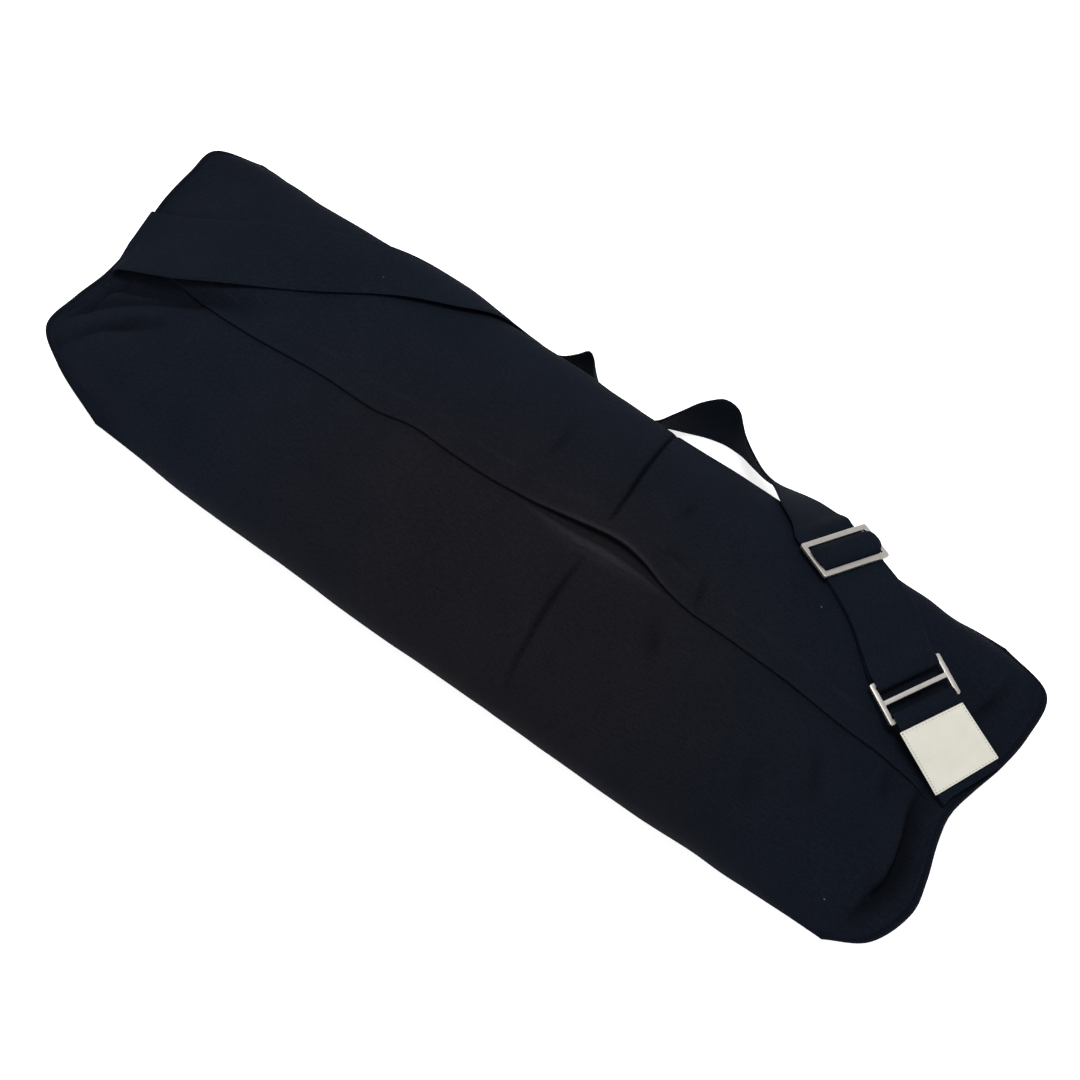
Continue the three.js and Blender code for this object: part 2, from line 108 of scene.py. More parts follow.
def curve(points, t):
    """Centripetal curve through the points, at shares t of its even spans."""
    knots = np.asarray(points, float)
    t = np.asarray(t, float).ravel()
    padded = np.concatenate([[2 * knots[0] - knots[1]], knots, [2 * knots[-1] - knots[-2]]])
    at = np.clip(t, 0, 1) * (len(knots) - 1)
    i = np.minimum(at.astype(int), len(knots) - 2)
    w = (at - i).reshape((-1,) + (1,) * (knots.ndim - 1))
    a, b, c, d = (padded[i + k] for k in range(4))

    def gap(p, q):
        return np.maximum(((p - q) ** 2).sum(-1, keepdims=True) ** 0.25, 1e-6)

    d0, d1, d2 = gap(a, b), gap(b, c), gap(c, d)
    leave = ((b - a) / d0 - (c - a) / (d0 + d1) + (c - b) / d1) * d1
    arrive = ((c - b) / d1 - (d - b) / (d1 + d2) + (d - c) / d2) * d1
    return b + w * (leave + w * (3 * (c - b) - 2 * leave - arrive + w * (2 * (b - c) + leave + arrive)))


def plan(length, side):
    """Plan position for a share of the length (-1 to 1) and of the width (-1 near, 1 far)."""
    length, side = np.broadcast_arrays(np.asarray(length, float), np.asarray(side, float))
    share = (np.clip(side, -1, 1) + 1) / 2
    ends = [curve(rows, share).reshape(side.shape + (2,)) for rows in (STRAP_END, LABEL_END)]
    end = np.where((length < 0)[..., None], ends[0], ends[1])
    pull = smooth(np.abs(length), END_BLEND, 1)
    waist = 0
    for place, reach, far, near in WAISTS:
        waist = waist + np.where(side > 0, far, near) * bell(HALF_LENGTH * length - place, reach)
    x = HALF_LENGTH * length + pull * (end[..., 0] - np.sign(length) * HALF_LENGTH)
    y = (HALF_WIDTH * side + pull * (end[..., 1] - HALF_WIDTH * side)) * (1 - waist)
    return x, y


def section(turn):
    """Side and height shares of the rounded section for a turn from the top line to the near side."""
    sin, cos = np.sin(turn), np.cos(turn)
    power = np.where(cos >= 0, 2 / TOP_FULLNESS, 2 / BASE_FULLNESS)
    return -np.sign(sin) * np.abs(sin) ** power, np.sign(cos) * np.abs(cos) ** power


def turn_at(y):
    share = np.asarray(y, float) / HALF_WIDTH
    return -np.sign(share) * np.arcsin(np.abs(share) ** (TOP_FULLNESS / 2))


def line_distance(x, y, x0, y0, x1, y1):
    """Distance in plan to a line piece, and the share along it of the nearest point."""
    dx, dy = x1 - x0, y1 - y0
    share = np.clip(((x - x0) * dx + (y - y0) * dy) / (dx * dx + dy * dy), 0, 1)
    return np.hypot(x - x0 - share * dx, y - y0 - share * dy), share


def dent_at(x, y):
    depth = 0
    for x0, y0, x1, y1, half, deep in DENTS:
        distance, _ = line_distance(x, y, x0, y0, x1, y1)
        depth = depth + deep * bell(distance, half)
    return depth


def skin(length, turn, depth=0.0):
    """Point of the body's cloth before it meets the floor, a given depth below its outer face."""
    side, rise = section(turn)
    x, y = plan(length, side * (1 - depth / HALF_WIDTH))
    from_seam = (1 - np.abs(length)) * HALF_LENGTH
    fill = np.sin(np.pi / 2 * np.clip((from_seam - FLANGE) / (END_ZONE - FLANGE), 0, 1))
    middle = WIDEST_HEIGHT + (SEAM_HEIGHT - WIDEST_HEIGHT) * smooth(np.abs(length), END_BLEND, 1)
    full = np.where(rise > 0, HEIGHT - WIDEST_HEIGHT - LIP, WIDEST_HEIGHT + FLOOR_SAG - LIP)
    dent = np.where(rise > 0, dent_at(x, y) * rise * fill, 0)
    z = middle + rise * (LIP + full * fill - depth) - dent
    return np.stack(np.broadcast_arrays(x, y, z), -1)


def girth_along(turns):
    """Girth around the middle section, measured along a run of turns."""
    ring = skin(0.0, turns)
    ring[:, 2] = np.maximum(ring[:, 2], 0)
    return measured(ring)


# From the top line down the far side
GIRTH_TURNS = -np.linspace(0, np.pi, 401)
GIRTH = girth_along(GIRTH_TURNS)


def length_at(x, side):
    low = np.full(np.shape(x), -1.0)
    high = np.full(np.shape(x), 1.0)
    for _ in range(40):
        mid = (low + high) / 2
        short = plan(mid, side)[0] < x
        low, high = np.where(short, mid, low), np.where(short, high, mid)
    return (low + high) / 2


def on_body(x, girth, rise):
    """Point a given rise above the body, by length along the bag and girth around it."""
    turn = np.sign(girth) * np.interp(np.abs(girth), GIRTH, GIRTH_TURNS)
    length = length_at(x, section(turn)[0])
    step = 0.004
    along = skin(np.minimum(length + step, 1), turn) - skin(np.maximum(length - step, -1), turn)
    around = skin(length, turn - step) - skin(length, turn + step)
    out = unit(np.cross(along, around))
    return skin(length, turn) + out * np.asarray(rise)[..., None]


# Slit along the top: the flap's edge in plan as x, y
FLAP_EDGE = [(-346, -6), (-300, -9), (-264, -13.5), (-232, -17), (-201, -15.5), (-155, -10.5), (-110, -10),
             (-80, -4.5), (-48, -5), (-13, -4), (13, -1), (42, 4.5), (70, 9), (92, 6.5), (113, 0),
             (133, -3.5), (161, -4), (200, -5.5), (240, -8), (267, -7), (294, -4), (346, -1)]
MOUTH_X = 67
MOUTH_LEFT = 85
MOUTH_RIGHT = 70
MOUTH_WIDTH = 16.5
MOUTH_LIFT = 1.8
LAP = 10
LAP_AIR = 0.5
LAP_ENDS = 34
SEWN_REACH = 54
LAP_FULL = 66
SLIT = 0.15
TUCK_REACH = 34
LIFT_REACH = 45
LOOSE_LIFT = 0.25
LOOSE_PITCH = 70
LOOSE_REACH = 22

# Hems, rim and end seams; grooves and puckers by height and half width
EDGE_ROUND = 1.1
HEM_DEPTH = 16.6
HEM_STEP = 1
HEM_RISE = 0.7
HEM_GROOVE = (0.4, 0.9)
HEM_PUCKER = (0.2, 5)
HEM_PUCKER_PITCH = 9
RIM = 1.9
RIM_GAP = 0.05
SEAM_LINE = 3.3
SEAM_GROOVE = (0.75, 1.1)
FLOOR_SOFTNESS = 2.0
SEED = 11

# Puckers and wider gathers by the end seams, shifted between the upper and the lower cloth
PUCKERS_FROM = (5.5, 12)
PUCKER_AT = 9
PUCKER_PITCH = 15
PUCKER_HEIGHT = 0.8
PUCKER_TOP = 1.2
PUCKER_REACH = 16
GATHER_AT = 30
GATHER_PITCH = 44
GATHER = (1.3, 42)
UNDER_SHIFT = 37
UNDER_BLEND = 0.3
SIDE_BLEND = 3

# Soft swells of all the cloth, lower on the underside: slant and pitch of two crossing waves, height
SWELLS = [(0.4, 130, -0.3, 95, 0.9), (-0.7, 52, 0.2, 60, 0.45)]
SWELLS_FROM = (6, 14)
SWELL_UNDER = 0.4
UPPER_BLEND = 4
RIPPLE_SHARES = (0.62, 1.0, 1.47)

# Rolled hem below the mouth: heights, and places as shares of the mouth's width
TROUGH = 3.2
TROUGH_ENDS = (0.3, 0.62)
ROLL_AT = 0.76
ROLL_HALF = 0.24
ROLL_LEAST = 0.5
ROLL_RISE = 1.5
ROLL_GROOVE = 1.3

# Tone of the cloth, by share and half width: rubbed pale, with a painted highlight, on the flap's edge and
# the rim; a painted highlight on the rolled hem; rubbed pale on the hem line and the ribbons' edges; painted
# shade along the end seams' grooves and, by the depth of their valleys, in the folds
FLAP_EDGE_WEAR_AND_HIGHLIGHT = (0.1, 2.4)
RIM_WEAR_AND_HIGHLIGHT = (0.15, 2.0)
ROLL_PAINTED_HIGHLIGHT = (0.85, 0.3)
HEM_WEAR = (0.13, 1.5)
HEM_WEAR_PITCH = 45
RIBBON_WEAR = (0.04, 1.2)
SEAM_GROOVE_PAINTED_SHADE = (0.45, 1.2)
FOLD_PAINTED_SHADE_DEPTH = 15
FOLD_PAINTED_SHADE_MOST = 0.6

# Creases and soft folds of the upper cloth: route in plan as x, y; half width; height (below 0 a valley).
# Those narrower than a crease's half width run to a sharp bottom.
CREASE_HALF = 3
CREASE_POWER = 1.3
FOLD_ENDS = 0.12
FOLDS_FROM = (2, 8)
FOLDS = [
    ([(49.5, 109), (51, 96), (54, 62), (57, 40), (59, 17)], 1.2, -4.4),
    ([(60, 96), (66, 56), (67, 24)], 8, 1.5),
    ([(1, 61), (1, 30)], 2.2, -2.6),
    ([(60, -9), (60, -29), (60, -50), (63, -84), (66, -103)], 1.9, -3.6),
    ([(130, 22), (134, 6), (137, -1)], 2.0, -3.0),
    ([(92, 18), (103, 22), (117, 22)], 2.4, -2.4),
    ([(92, 44), (96, 63)], 2.4, -2.6),
    ([(120, -20), (132, -43)], 3.6, -3.2),
    ([(246, -28), (261, -54)], 4.2, -3.4),
    ([(288, -6), (297, -27)], 3.4, -3.4),
    ([(317, 92), (317, 60)], 4.5, -3.2),
    ([(309, 44), (311.6, 52), (317.3, 73)], 3.2, -3.0),
    ([(-327, -83), (-304, -59), (-286, -51), (-262, -41)], 4, -4.6),
    ([(-338, -59), (-319, -44), (-289, -30.5), (-253, -14.5)], 3.6, -4.4),
    ([(-320, -19), (-328, -41), (-337, -58)], 4, -5.0),
    ([(-336, -29), (-300, -21), (-264, -14), (-238, -6), (-214, 1)], 7.5, -6.0),
    ([(313, -6), (320, -24), (326, -46), (328, -65), (321, -92)], 5.5, -10.5),
    ([(297, -22), (305, -48), (305, -70), (298, -90)], 9, 3.2),
    ([(329, -16), (337, -34), (338, -52), (339, -70), (333, -90)], 3.5, 3.2),
    ([(220, -64), (229, -82)], 5, -2.0),
    ([(262, -30), (286, -70), (292, -92)], 16, 1.6),
    ([(-240, 40), (-225, 70)], 9, 0.9),
    ([(-60, -40), (10, -70)], 26, -1.0),
    ([(120, 40), (150, 70)], 14, 1.0),
    ([(170, -30), (200, -60)], 18, 1.0),
    ([(-180, -40), (-130, -80)], 22, 1.0),
]

# Mesh fineness of the body's cloth, with the finer rows by the creases as from, to, step.
# The columns of the hem and of the lap are together even in number.
ROW_STEP = 2.6
FINE_ROWS = [(-4, 6, 1.2), (47, 61, 0.5), (61, 67, 0.8), (89, 99, 1.3), (127, 140, 1.2), (304, 335, 1.6)]
COLUMN_STEP = 2.5
BASE_STEP = 7
HEM_COLUMNS = [0, 0.1, 0.3, 0.6, 1, 1.5, 2.1, 3, 4.2, 5.6, 7, 8.6, 10.2, 11.8, 13.2, 14.2, 14.9, 15.4, 15.8,
               16.2, 16.6, 17, 17.4, 17.8, 18.4, 19.2, 20.4, 22, 24, 26]
LAP_COLUMNS = [0, 0.1, 0.3, 0.6, 1, 1.6, 2.6, 4, 5.6, 7.2, 8.6, 9.8, 10.8, 11.7, 12.6, 13.5, 14.4, 15.2, 16,
               16.8, 17.6, 18.4, 19.2, 20, 20.8, 21.5, 22.1, 22.7, 23.2, 23.7, 24.2, 24.8, 25.6, 26.8, 28.4,
               30.2]
SEAM_ROWS = [0, 0.15, 0.45, 0.85, 1.3, 1.9, 2.6, 3.3, 3.9, 4.4, 5, 5.6, 6.1, 6.8, 7.7, 8.8, 10.2, 11.8, 13.6,
             15.7]


def flap_edge(x):
    """Smooth line through the rows of the flap's edge."""
    xs, ys = np.pad(np.array(FLAP_EDGE, float), ((1, 1), (0, 0)), "edge").T
    slopes = (ys[2:] - ys[:-2]) / (xs[2:] - xs[:-2])
    xs, ys = xs[1:-1], ys[1:-1]
    at = np.clip(np.searchsorted(xs, x) - 1, 0, len(xs) - 2)
    span = xs[at + 1] - xs[at]
    t = (x - xs[at]) / span
    bend = span * t * (1 - t) * (slopes[at] * (1 - t) - slopes[at + 1] * t)
    return ys[at] + (ys[at + 1] - ys[at]) * smooth(t, 0, 1) + bend


def gape(x):
    """How far the mouth stands open along the slit, from 0 to 1."""
    reach = np.where(x < MOUTH_X, MOUTH_LEFT, MOUTH_RIGHT)
    return np.cos(np.pi / 2 * np.clip((x - MOUTH_X) / reach, -1, 1)) ** 2


def ripple(value, pitch, seed):
    """Even but irregular waves about nought, at most about one high."""
    draw = np.random.default_rng(seed)
    total = 0
    for share in RIPPLE_SHARES:
        phase, size = draw.uniform(0, 2 * np.pi), draw.uniform(0.6, 1.0)
        total = total + size * np.sin(2 * np.pi * value / (pitch * share) + phase)
    return total / 2


def route_distance(x, y, route):
    """Distance in plan to a line through points, and the share along it of the nearest point."""
    best = np.full(np.shape(x), 1e9)
    share = np.zeros(np.shape(x))
    pieces = list(zip(route[:-1], route[1:]))
    for k, ((x0, y0), (x1, y1)) in enumerate(pieces):
        distance, along = line_distance(x, y, x0, y0, x1, y1)
        nearer = distance < best
        best = np.where(nearer, distance, best)
        share = np.where(nearer, (k + along) / len(pieces), share)
    return best, share


def upper_share(rise):
    """One on the upper cloth, nought on the lower."""
    return np.clip(rise * UPPER_BLEND, 0, 1)


def folded(x, y, rise, from_seam):
    """Height of the folds above the smooth body."""
    height = 0
    for route, half, high in FOLDS:
        distance, share = route_distance(x, y, route)
        taper = np.sin(np.pi * (FOLD_ENDS + (1 - 2 * FOLD_ENDS) * share))
        power = CREASE_POWER if half < CREASE_HALF else 2
        height = height + high * taper * np.exp(-(distance / half) ** power)
    return height * upper_share(rise) * smooth(from_seam, *FOLDS_FROM)


def relief(x, y, rise, from_seam):
    """Height of soft swells, and of puckers and gathers by the end seams, above the smooth body."""
    swell = 0
    for k, (slant, pitch, cross_slant, cross_pitch, high) in enumerate(SWELLS):
        waves = ripple(x + slant * y, pitch, SEED + 2 * k)
        swell = swell + high * waves * ripple(y + cross_slant * x, cross_pitch, SEED + 2 * k + 1)
    spread = SWELL_UNDER + (1 - SWELL_UNDER) * upper_share(rise)
    height = swell * smooth(from_seam, *SWELLS_FROM) * spread
    shifted = y + UNDER_SHIFT * smooth(-rise, -UNDER_BLEND, UNDER_BLEND)
    clear = smooth(from_seam, *PUCKERS_FROM) * np.clip(np.abs(rise) * SIDE_BLEND, 0, 1)
    fading = PUCKER_HEIGHT * np.exp((PUCKER_AT - from_seam) / PUCKER_REACH)
    gathered = band(from_seam - GATHER_AT, GATHER)
    for chosen, seed in ((x < 0, SEED + 4), (x >= 0, SEED + 6)):
        pucker = np.minimum(fading * ripple(shifted, PUCKER_PITCH, seed), PUCKER_TOP)
        gather = gathered * ripple(shifted, GATHER_PITCH, seed + 1)
        height = height + chosen * clear * (pucker + gather)
    return height


def rest_on_floor(z):
    return 0.5 * (z + np.sqrt(z * z + FLOOR_SOFTNESS ** 2))


def outward(points):
    """Unit normals of a grid of points, rows along the bag and columns around it."""
    return unit(np.cross(np.gradient(points, axis=1), np.gradient(points, axis=0)))


def graded(start, stop, step_at):
    """Values from start to stop whose spacing follows a rule, with both ends kept."""
    values = [start]
    while values[-1] < stop:
        values.append(values[-1] + step_at(values[-1]))
    values = np.array(values)
    return start + (values - start) * (stop - start) / (values[-1] - start)


def odd(values):
    """The same run with an odd count, by one more value between the last two."""
    return values if len(values) % 2 else np.insert(values, -1, (values[-1] + values[-2]) / 2)


def row_step(x):
    return min([step for low, high, step in FINE_ROWS if low < x < high], default=ROW_STEP)


def body_rows():
    """Length shares of the rows, close together at the sewn ends and by the creases."""
    ends = HALF_LENGTH - np.array(SEAM_ROWS)
    rows = np.concatenate([-ends[:-1], graded(-ends[-1], ends[-1], row_step), ends[-2::-1]])
    return odd(rows) / HALF_LENGTH


# More than once around, from the top line down the near side; the base lies between two girths
WRAP_TURNS = np.linspace(-1, 2 * np.pi + 1, 2001)
WRAP_GIRTH = girth_along(WRAP_TURNS)
WRAP_GIRTH -= np.interp(0, WRAP_TURNS, WRAP_GIRTH)
BASE_TURN = 1.9
BASE_FROM, BASE_TO = np.interp([BASE_TURN, 2 * np.pi - BASE_TURN], WRAP_TURNS, WRAP_GIRTH)
BASE_MIDDLE = (BASE_FROM + BASE_TO) / 2


def body_columns(start, stop):
    """Girth of each column for rows that start at the lapped edge and stop at the flap's edge."""
    low, high = start.mean() + LAP_COLUMNS[-1], stop.mean() - HEM_COLUMNS[-1]
    middle = graded(low, high, lambda g: BASE_STEP if BASE_FROM < g < BASE_TO else COLUMN_STEP)
    share = odd(((middle - low) / (high - low))[1:-1])
    start, stop = start[:, None], stop[:, None]
    lapped = start + np.array(LAP_COLUMNS)
    hemmed = stop - np.array(HEM_COLUMNS)[::-1]
    between = lapped[:, -1:] + (hemmed[:, :1] - lapped[:, -1:]) * share
    return np.concatenate([lapped, between, hemmed], axis=1)


def wrapped(length, girth, start, stop, depth):
    """Cloth of the wrap, from the lapped edge under the flap, around the bag, to the flap's edge."""
    x = HALF_LENGTH * length
    from_seam = HALF_LENGTH - np.abs(x)
    turn = np.interp(girth, WRAP_GIRTH, WRAP_TURNS)
    rise = section(turn)[1]
    points = skin(length, turn, depth)
    open_ = gape(x)
    below, width = flap_edge(x) - points[..., 1], MOUTH_WIDTH * open_
    from_flap, from_lap = stop - girth, girth - start
    near_side = (girth < BASE_MIDDLE) & (rise > 0)
    far_side = (girth > BASE_MIDDLE) & (rise > 0)
    sewn = smooth(from_seam, FLANGE, SEWN_REACH)
    tucked = 1 - smooth(below, 0, TUCK_REACH)
    trough = TROUGH * (1 - smooth(below, TROUGH_ENDS[0] * width, TROUGH_ENDS[1] * width + 0.1))
    roll = ROLL_RISE * bell(below - ROLL_AT * width, ROLL_HALF * width + ROLL_LEAST)
    groove = ROLL_GROOVE * bell(below - width)
    drop = tucked * (CLOTH + LAP_AIR) * sewn + open_ * (trough - roll) + np.sqrt(open_) * groove
    loose = LOOSE_LIFT * (1 + ripple(x, LOOSE_PITCH, SEED + 9)) * (1 - smooth(from_flap, 0, LOOSE_REACH))
    lift = MOUTH_LIFT * open_ * (1 - smooth(-below, 0, LIFT_REACH)) + loose * sewn
    points[..., 2] += np.where(far_side, lift, 0) - np.where(near_side, drop, 0)
    return points, rise, from_seam, from_flap, from_lap, far_side, near_side


def body_cloth():
    """Outer and inner grids of the bag, with the girth and the tone of each outer point.

    The tone is above nought where the cloth is rubbed pale and where a highlight is painted, and below it
    where shade is painted in a fold or along a seam's groove.
    """
    length = body_rows()[:, None]
    x = HALF_LENGTH * length[:, 0]
    lap = -SLIT + (LAP + SLIT) * smooth(HALF_LENGTH - np.abs(x), LAP_ENDS, LAP_FULL)
    edge = flap_edge(x)
    start = np.interp(turn_at(edge + lap), WRAP_TURNS, WRAP_GIRTH)
    stop = np.interp(2 * np.pi + turn_at(edge), WRAP_TURNS, WRAP_GIRTH)
    girth = body_columns(start, stop)
    start, stop = start[:, None], stop[:, None]
    outer, rise, seam, from_flap, from_lap, far_side, near_side = wrapped(length, girth, start, stop, 0.0)
    seam = np.broadcast_to(seam, girth.shape)
    sewn = smooth(seam, FLANGE, SEWN_REACH)
    out = outward(outer)
    folds = folded(outer[..., 0], outer[..., 1], rise, seam)
    height = folds + relief(outer[..., 0], outer[..., 1], rise, seam)

    # rounded rim and the groove that the end seam's stitches pull
    pinch = (1 - quarter_round(seam, RIM)) * (LIP - RIM_GAP)
    flange = -np.clip(rise, -1, 1) * (pinch + band(seam - SEAM_LINE, SEAM_GROOVE))

    # hem of the flap, its stitch line and the rounded edges of both panels
    off_hem = from_flap - HEM_DEPTH
    pucker = ripple(outer[..., 0], HEM_PUCKER_PITCH, SEED + 8) * band(off_hem, HEM_PUCKER)
    hem = HEM_RISE * (1 - smooth(off_hem, -HEM_STEP, HEM_STEP)) - band(off_hem, HEM_GROOVE)
    from_edge = np.where(far_side, from_flap, np.where(near_side, from_lap, EDGE_ROUND))
    rounded = EDGE_ROUND * (1 - quarter_round(from_edge, EDGE_ROUND))
    raised = (np.where(far_side, hem + pucker, 0) - rounded) * sewn

    # inner face on every second line, then the outer face
    inner_length = length[::2] * np.minimum(1, (HALF_LENGTH - RIM) / np.maximum(np.abs(x[::2, None]), 1))
    inner = wrapped(inner_length, girth[::2, ::2], start[::2], stop[::2], CLOTH)[0]
    inner = inner + (out * height[..., None])[::2, ::2]
    inner[..., 2] = rest_on_floor(inner[..., 2] - CLOTH) + CLOTH
    outer = outer + out * (height + raised)[..., None]
    outer[..., 2] = rest_on_floor(outer[..., 2] + flange)

    # rubbed pale flap edge and rim, both with a painted highlight; rubbed pale hem line; painted highlight on
    # the rolled hem; painted shade in the folds' valleys and the end seams' grooves
    open_ = gape(outer[..., 0])
    mouth = MOUTH_WIDTH * open_
    # the flap's edge: rubbed pale, with a painted highlight strongest at the mouth
    flap = (FLAP_EDGE_WEAR_AND_HIGHLIGHT[0] + (1 - FLAP_EDGE_WEAR_AND_HIGHLIGHT[0]) * open_) * bell(from_flap, FLAP_EDGE_WEAR_AND_HIGHLIGHT[1])
    uneven = 1 + ripple(outer[..., 0], HEM_WEAR_PITCH, SEED + 10)
    hem_line = uneven * band(off_hem, HEM_WEAR) * sewn
    # painted highlight along the rolled hem below the mouth
    roll = bell(from_lap - LAP - ROLL_AT * mouth, ROLL_LEAST + ROLL_PAINTED_HIGHLIGHT[1] * mouth)
    painted_light_and_wear = np.where(far_side, np.maximum(flap, hem_line), 0)
    painted_light_and_wear = np.where(near_side, ROLL_PAINTED_HIGHLIGHT[0] * open_ * roll, painted_light_and_wear)
    # rim by the end seams: rubbed pale with a painted highlight
    painted_light_and_wear = np.maximum(painted_light_and_wear, band(seam, RIM_WEAR_AND_HIGHLIGHT))
    # painted shade in the folds' valleys, darker the deeper the valley
    dark = np.clip(-folds / FOLD_PAINTED_SHADE_DEPTH, 0, FOLD_PAINTED_SHADE_MOST)
    # painted shade along the end seams' stitched grooves
    dark = np.maximum(dark, band(seam - SEAM_LINE, SEAM_GROOVE_PAINTED_SHADE))
    return outer, inner, girth, painted_light_and_wear - dark


def show(name, data):
    """New object in the scene."""
    made = bpy.data.objects.new(name, data)
    bpy.context.scene.collection.objects.link(made)
    return made


def mark(mesh, name, kind, field, values):
    """Store a value with every point of a mesh."""
    mesh.attributes.new(name, kind, "POINT").data.foreach_set(field, values.astype(np.float32).ravel())


def new_piece(name, points, faces, uv, tone=None, sharp=50):
    """Smooth-shaded mesh object from points and a map in millimetres."""
    mesh = bpy.data.meshes.new(name)
    mesh.from_pydata(points * MM, [], faces)
    corners = np.zeros(len(mesh.loops), np.int32)
    mesh.loops.foreach_get("vertex_index", corners)
    layer = mesh.uv_layers.new(name="cloth")
    layer.data.foreach_set("uv", (uv * MM)[corners].astype(np.float32).ravel())
    if tone is not None:
        mark(mesh, "wear", "FLOAT", "value", tone)
    mesh.shade_smooth()
    mesh.set_sharp_from_angle(angle=np.radians(sharp))
    mesh.update()
    return show(name, mesh)


def cloth_faces(rows, cols, skip):
    """Faces of a closed cloth: an upper grid, a lower one on every skip-th line, and four borders."""
    low_rows, low_cols = (rows - 1) // skip + 1, (cols - 1) // skip + 1
    high = np.arange(rows * cols).reshape(rows, cols)
    low = rows * cols + np.arange(low_rows * low_cols).reshape(low_rows, low_cols)
    top = np.stack([high[:-1, :-1], high[1:, :-1], high[1:, 1:], high[:-1, 1:]], -1).reshape(-1, 4)
    under = np.stack([low[:-1, :-1], low[:-1, 1:], low[1:, 1:], low[1:, :-1]], -1).reshape(-1, 4)
    faces = top.tolist() + under.tolist()
    borders = [(high[:, 0], low[:, 0], True), (high[:, -1], low[:, -1], False),
               (high[0], low[0], False), (high[-1], low[-1], True)]
    for upper, lower, turned in borders:
        for k in range(len(lower) - 1):
            face = upper[k * skip:(k + 1) * skip + 1].tolist() + [int(lower[k + 1]), int(lower[k])]
            faces.append(face[::-1] if turned else face)
    return faces


def cloth_piece(name, upper, lower, upper_uv, lower_uv, tone, skip=1):
    """Closed cloth between two grids of points, its faces turned outward."""
    points = np.concatenate([upper.reshape(-1, 3), lower.reshape(-1, 3)])
    faces = cloth_faces(*upper.shape[:2], skip)
    count = sum((grid.shape[0] - 1) * (grid.shape[1] - 1) for grid in (upper, lower))
    a, b, c, d = points[np.array(faces[:count]).T]
    if ((a + c) * np.cross(c - a, d - b)).sum() < 0:
        faces = [face[::-1] for face in faces]
    uv = np.concatenate([upper_uv.reshape(-1, 2), lower_uv.reshape(-1, 2)])
    tones = np.concatenate([tone.ravel(), np.zeros(lower.size // 3)])
    return new_piece(name, points, faces, uv, tones)


def make_body():
    outer, inner, girth, tone = body_cloth()
    length = np.broadcast_to(HALF_LENGTH * body_rows()[:, None], girth.shape)
    uv = np.stack([length, girth], -1)
    return cloth_piece("bag_cloth", outer, inner, uv, uv[::2, ::2], tone, skip=2), outer


# Strap on the body: x along the bag, girth from the top line, heading in degrees, width, rise
STRAP_LEFT = [(-340.5, 6, 14, 54, 2), (-276, 18, 23, 57, 2), (-217, 50, 28, 53, 2), (-163, 90, 34, 52, 3.4),
              (-125, 112.5, 35, 51, 4.8), (-104, 134, 33, 47, 2.2)]

# Strap standing on edge behind the bag: x, y, z of the middle and outward lean in degrees
STANDING_WIDTH = 44
STRAP_STANDING = [
    (-72, 117.4, 26, -8), (-54, 119.2, 23, -10), (-44, 126, 22.5, -5), (-38, 131, 22.5, 0),
    (-31, 128.5, 22.5, -4), (-20, 121.5, 21, -18), (-4, 120, 21, -17), (11, 120, 21, -18),
    (24.2, 122.6, 21, -22), (32, 129.8, 22, -14.5), (39.5, 136.4, 22.3, -5), (45.3, 141.5, 22.5, 3),
    (51.1, 146, 22.5, 9), (59, 150.6, 22.5, 15.5), (68, 150.9, 22.5, 12), (76.3, 147.5, 22.5, 1.5),
    (82.6, 144.6, 22.5, -5.5), (92, 140.2, 22.5, -11), (107, 133.8, 25, -18), (123.5, 128.4, 35, -30),
]

# Strap climbing to the slider: centre and direction across
CLIMB_WIDTH = 48.5
STRAP_CLIMB = [((142.5, 117, 56.2), (0.31, 0.63, -0.71)), ((157.8, 108.2, 68.6), (0.34, 0.73, -0.59))]

# Three-bar slides: one sets the strap's length, one is the end ring
SLIDE_WIDTH = 53
SLIDE_HEIGHT = 28
SLIDER_BAR = 4
RING_BAR = 3.2
SLIDE_THICK = 2.4
SLIDE_SIDE = 3.2
SLIDE_CORNER = 1.5
SLOT_CORNER = 0.8
SLIDE_EDGE = 0.4
SLIDER_AT = {"centre": (187.6, 92.4, 86.7), "across": (0.426, 0.83, -0.338), "along": (-0.912, 0.382, -0.152)}
RING_AT = {"centre": (272.6, 37.8, 94), "across": (0.423, 0.886, -0.187), "along": (-0.862, 0.493, 0.123)}
HARDWARE_WIDTH = 46.2

# Strap through the slides: along and out from a slide's middle
OVER_SLIDER = [(22, -2.6), (15, -3), (12, -3), (9.6, -2.8), (8.6, -0.8), (7.8, 1.4), (6, 3.4), (3.2, 4.4),
               (0, 4.6), (-3.2, 4.4), (-6, 3.4), (-7.8, 1.4), (-8.6, -0.8), (-9.6, -2.8), (-12, -3),
               (-15, -3)]
AROUND_RING = [(19, 1.8), (14.5, 2.6), (11, 2.8), (8.7, 1.9), (8, 0), (8.7, -1.9), (11, -2.8), (14.5, -2.8),
               (19, -2)]
TO_CENTRE_BAR = [(-15, -4.9), (-12, -4.9), (-7, -4.4), (-2, -2.8), (1, -2.8), (3.3, -1.9), (4, 0), (3.4, 2),
                 (1.2, 2.7), (-1.5, 2.6)]
DOUBLED = {"x": 230, "girth": 69.5, "heading": -34, "width": 48, "under": 1.7, "over": 3.6}

# Ring tab and label: place of the sewn end, then along and out from the ring's middle
TAB_WIDTH = 46
TAB_END = {"x": 331.5, "girth": 22, "heading": -22}
TAB_LOOP = [(-17, 1.8), (-14, 2.7), (-11, 2.8), (-8.7, 1.9), (-8, 0), (-8.7, -1.9), (-11, -2.8), (-14, -2.8)]
TAB_UNDER = 1.9
TAB_OVER = 4.5
LABEL_CLOTH = 0.9
LABEL_WIDTH = 47.5
LABEL_FROM = 0.04
LABEL_TO = 0.87
LABEL_ASIDE = (-1.4, 0.8)
LABEL_RISE = 0.9

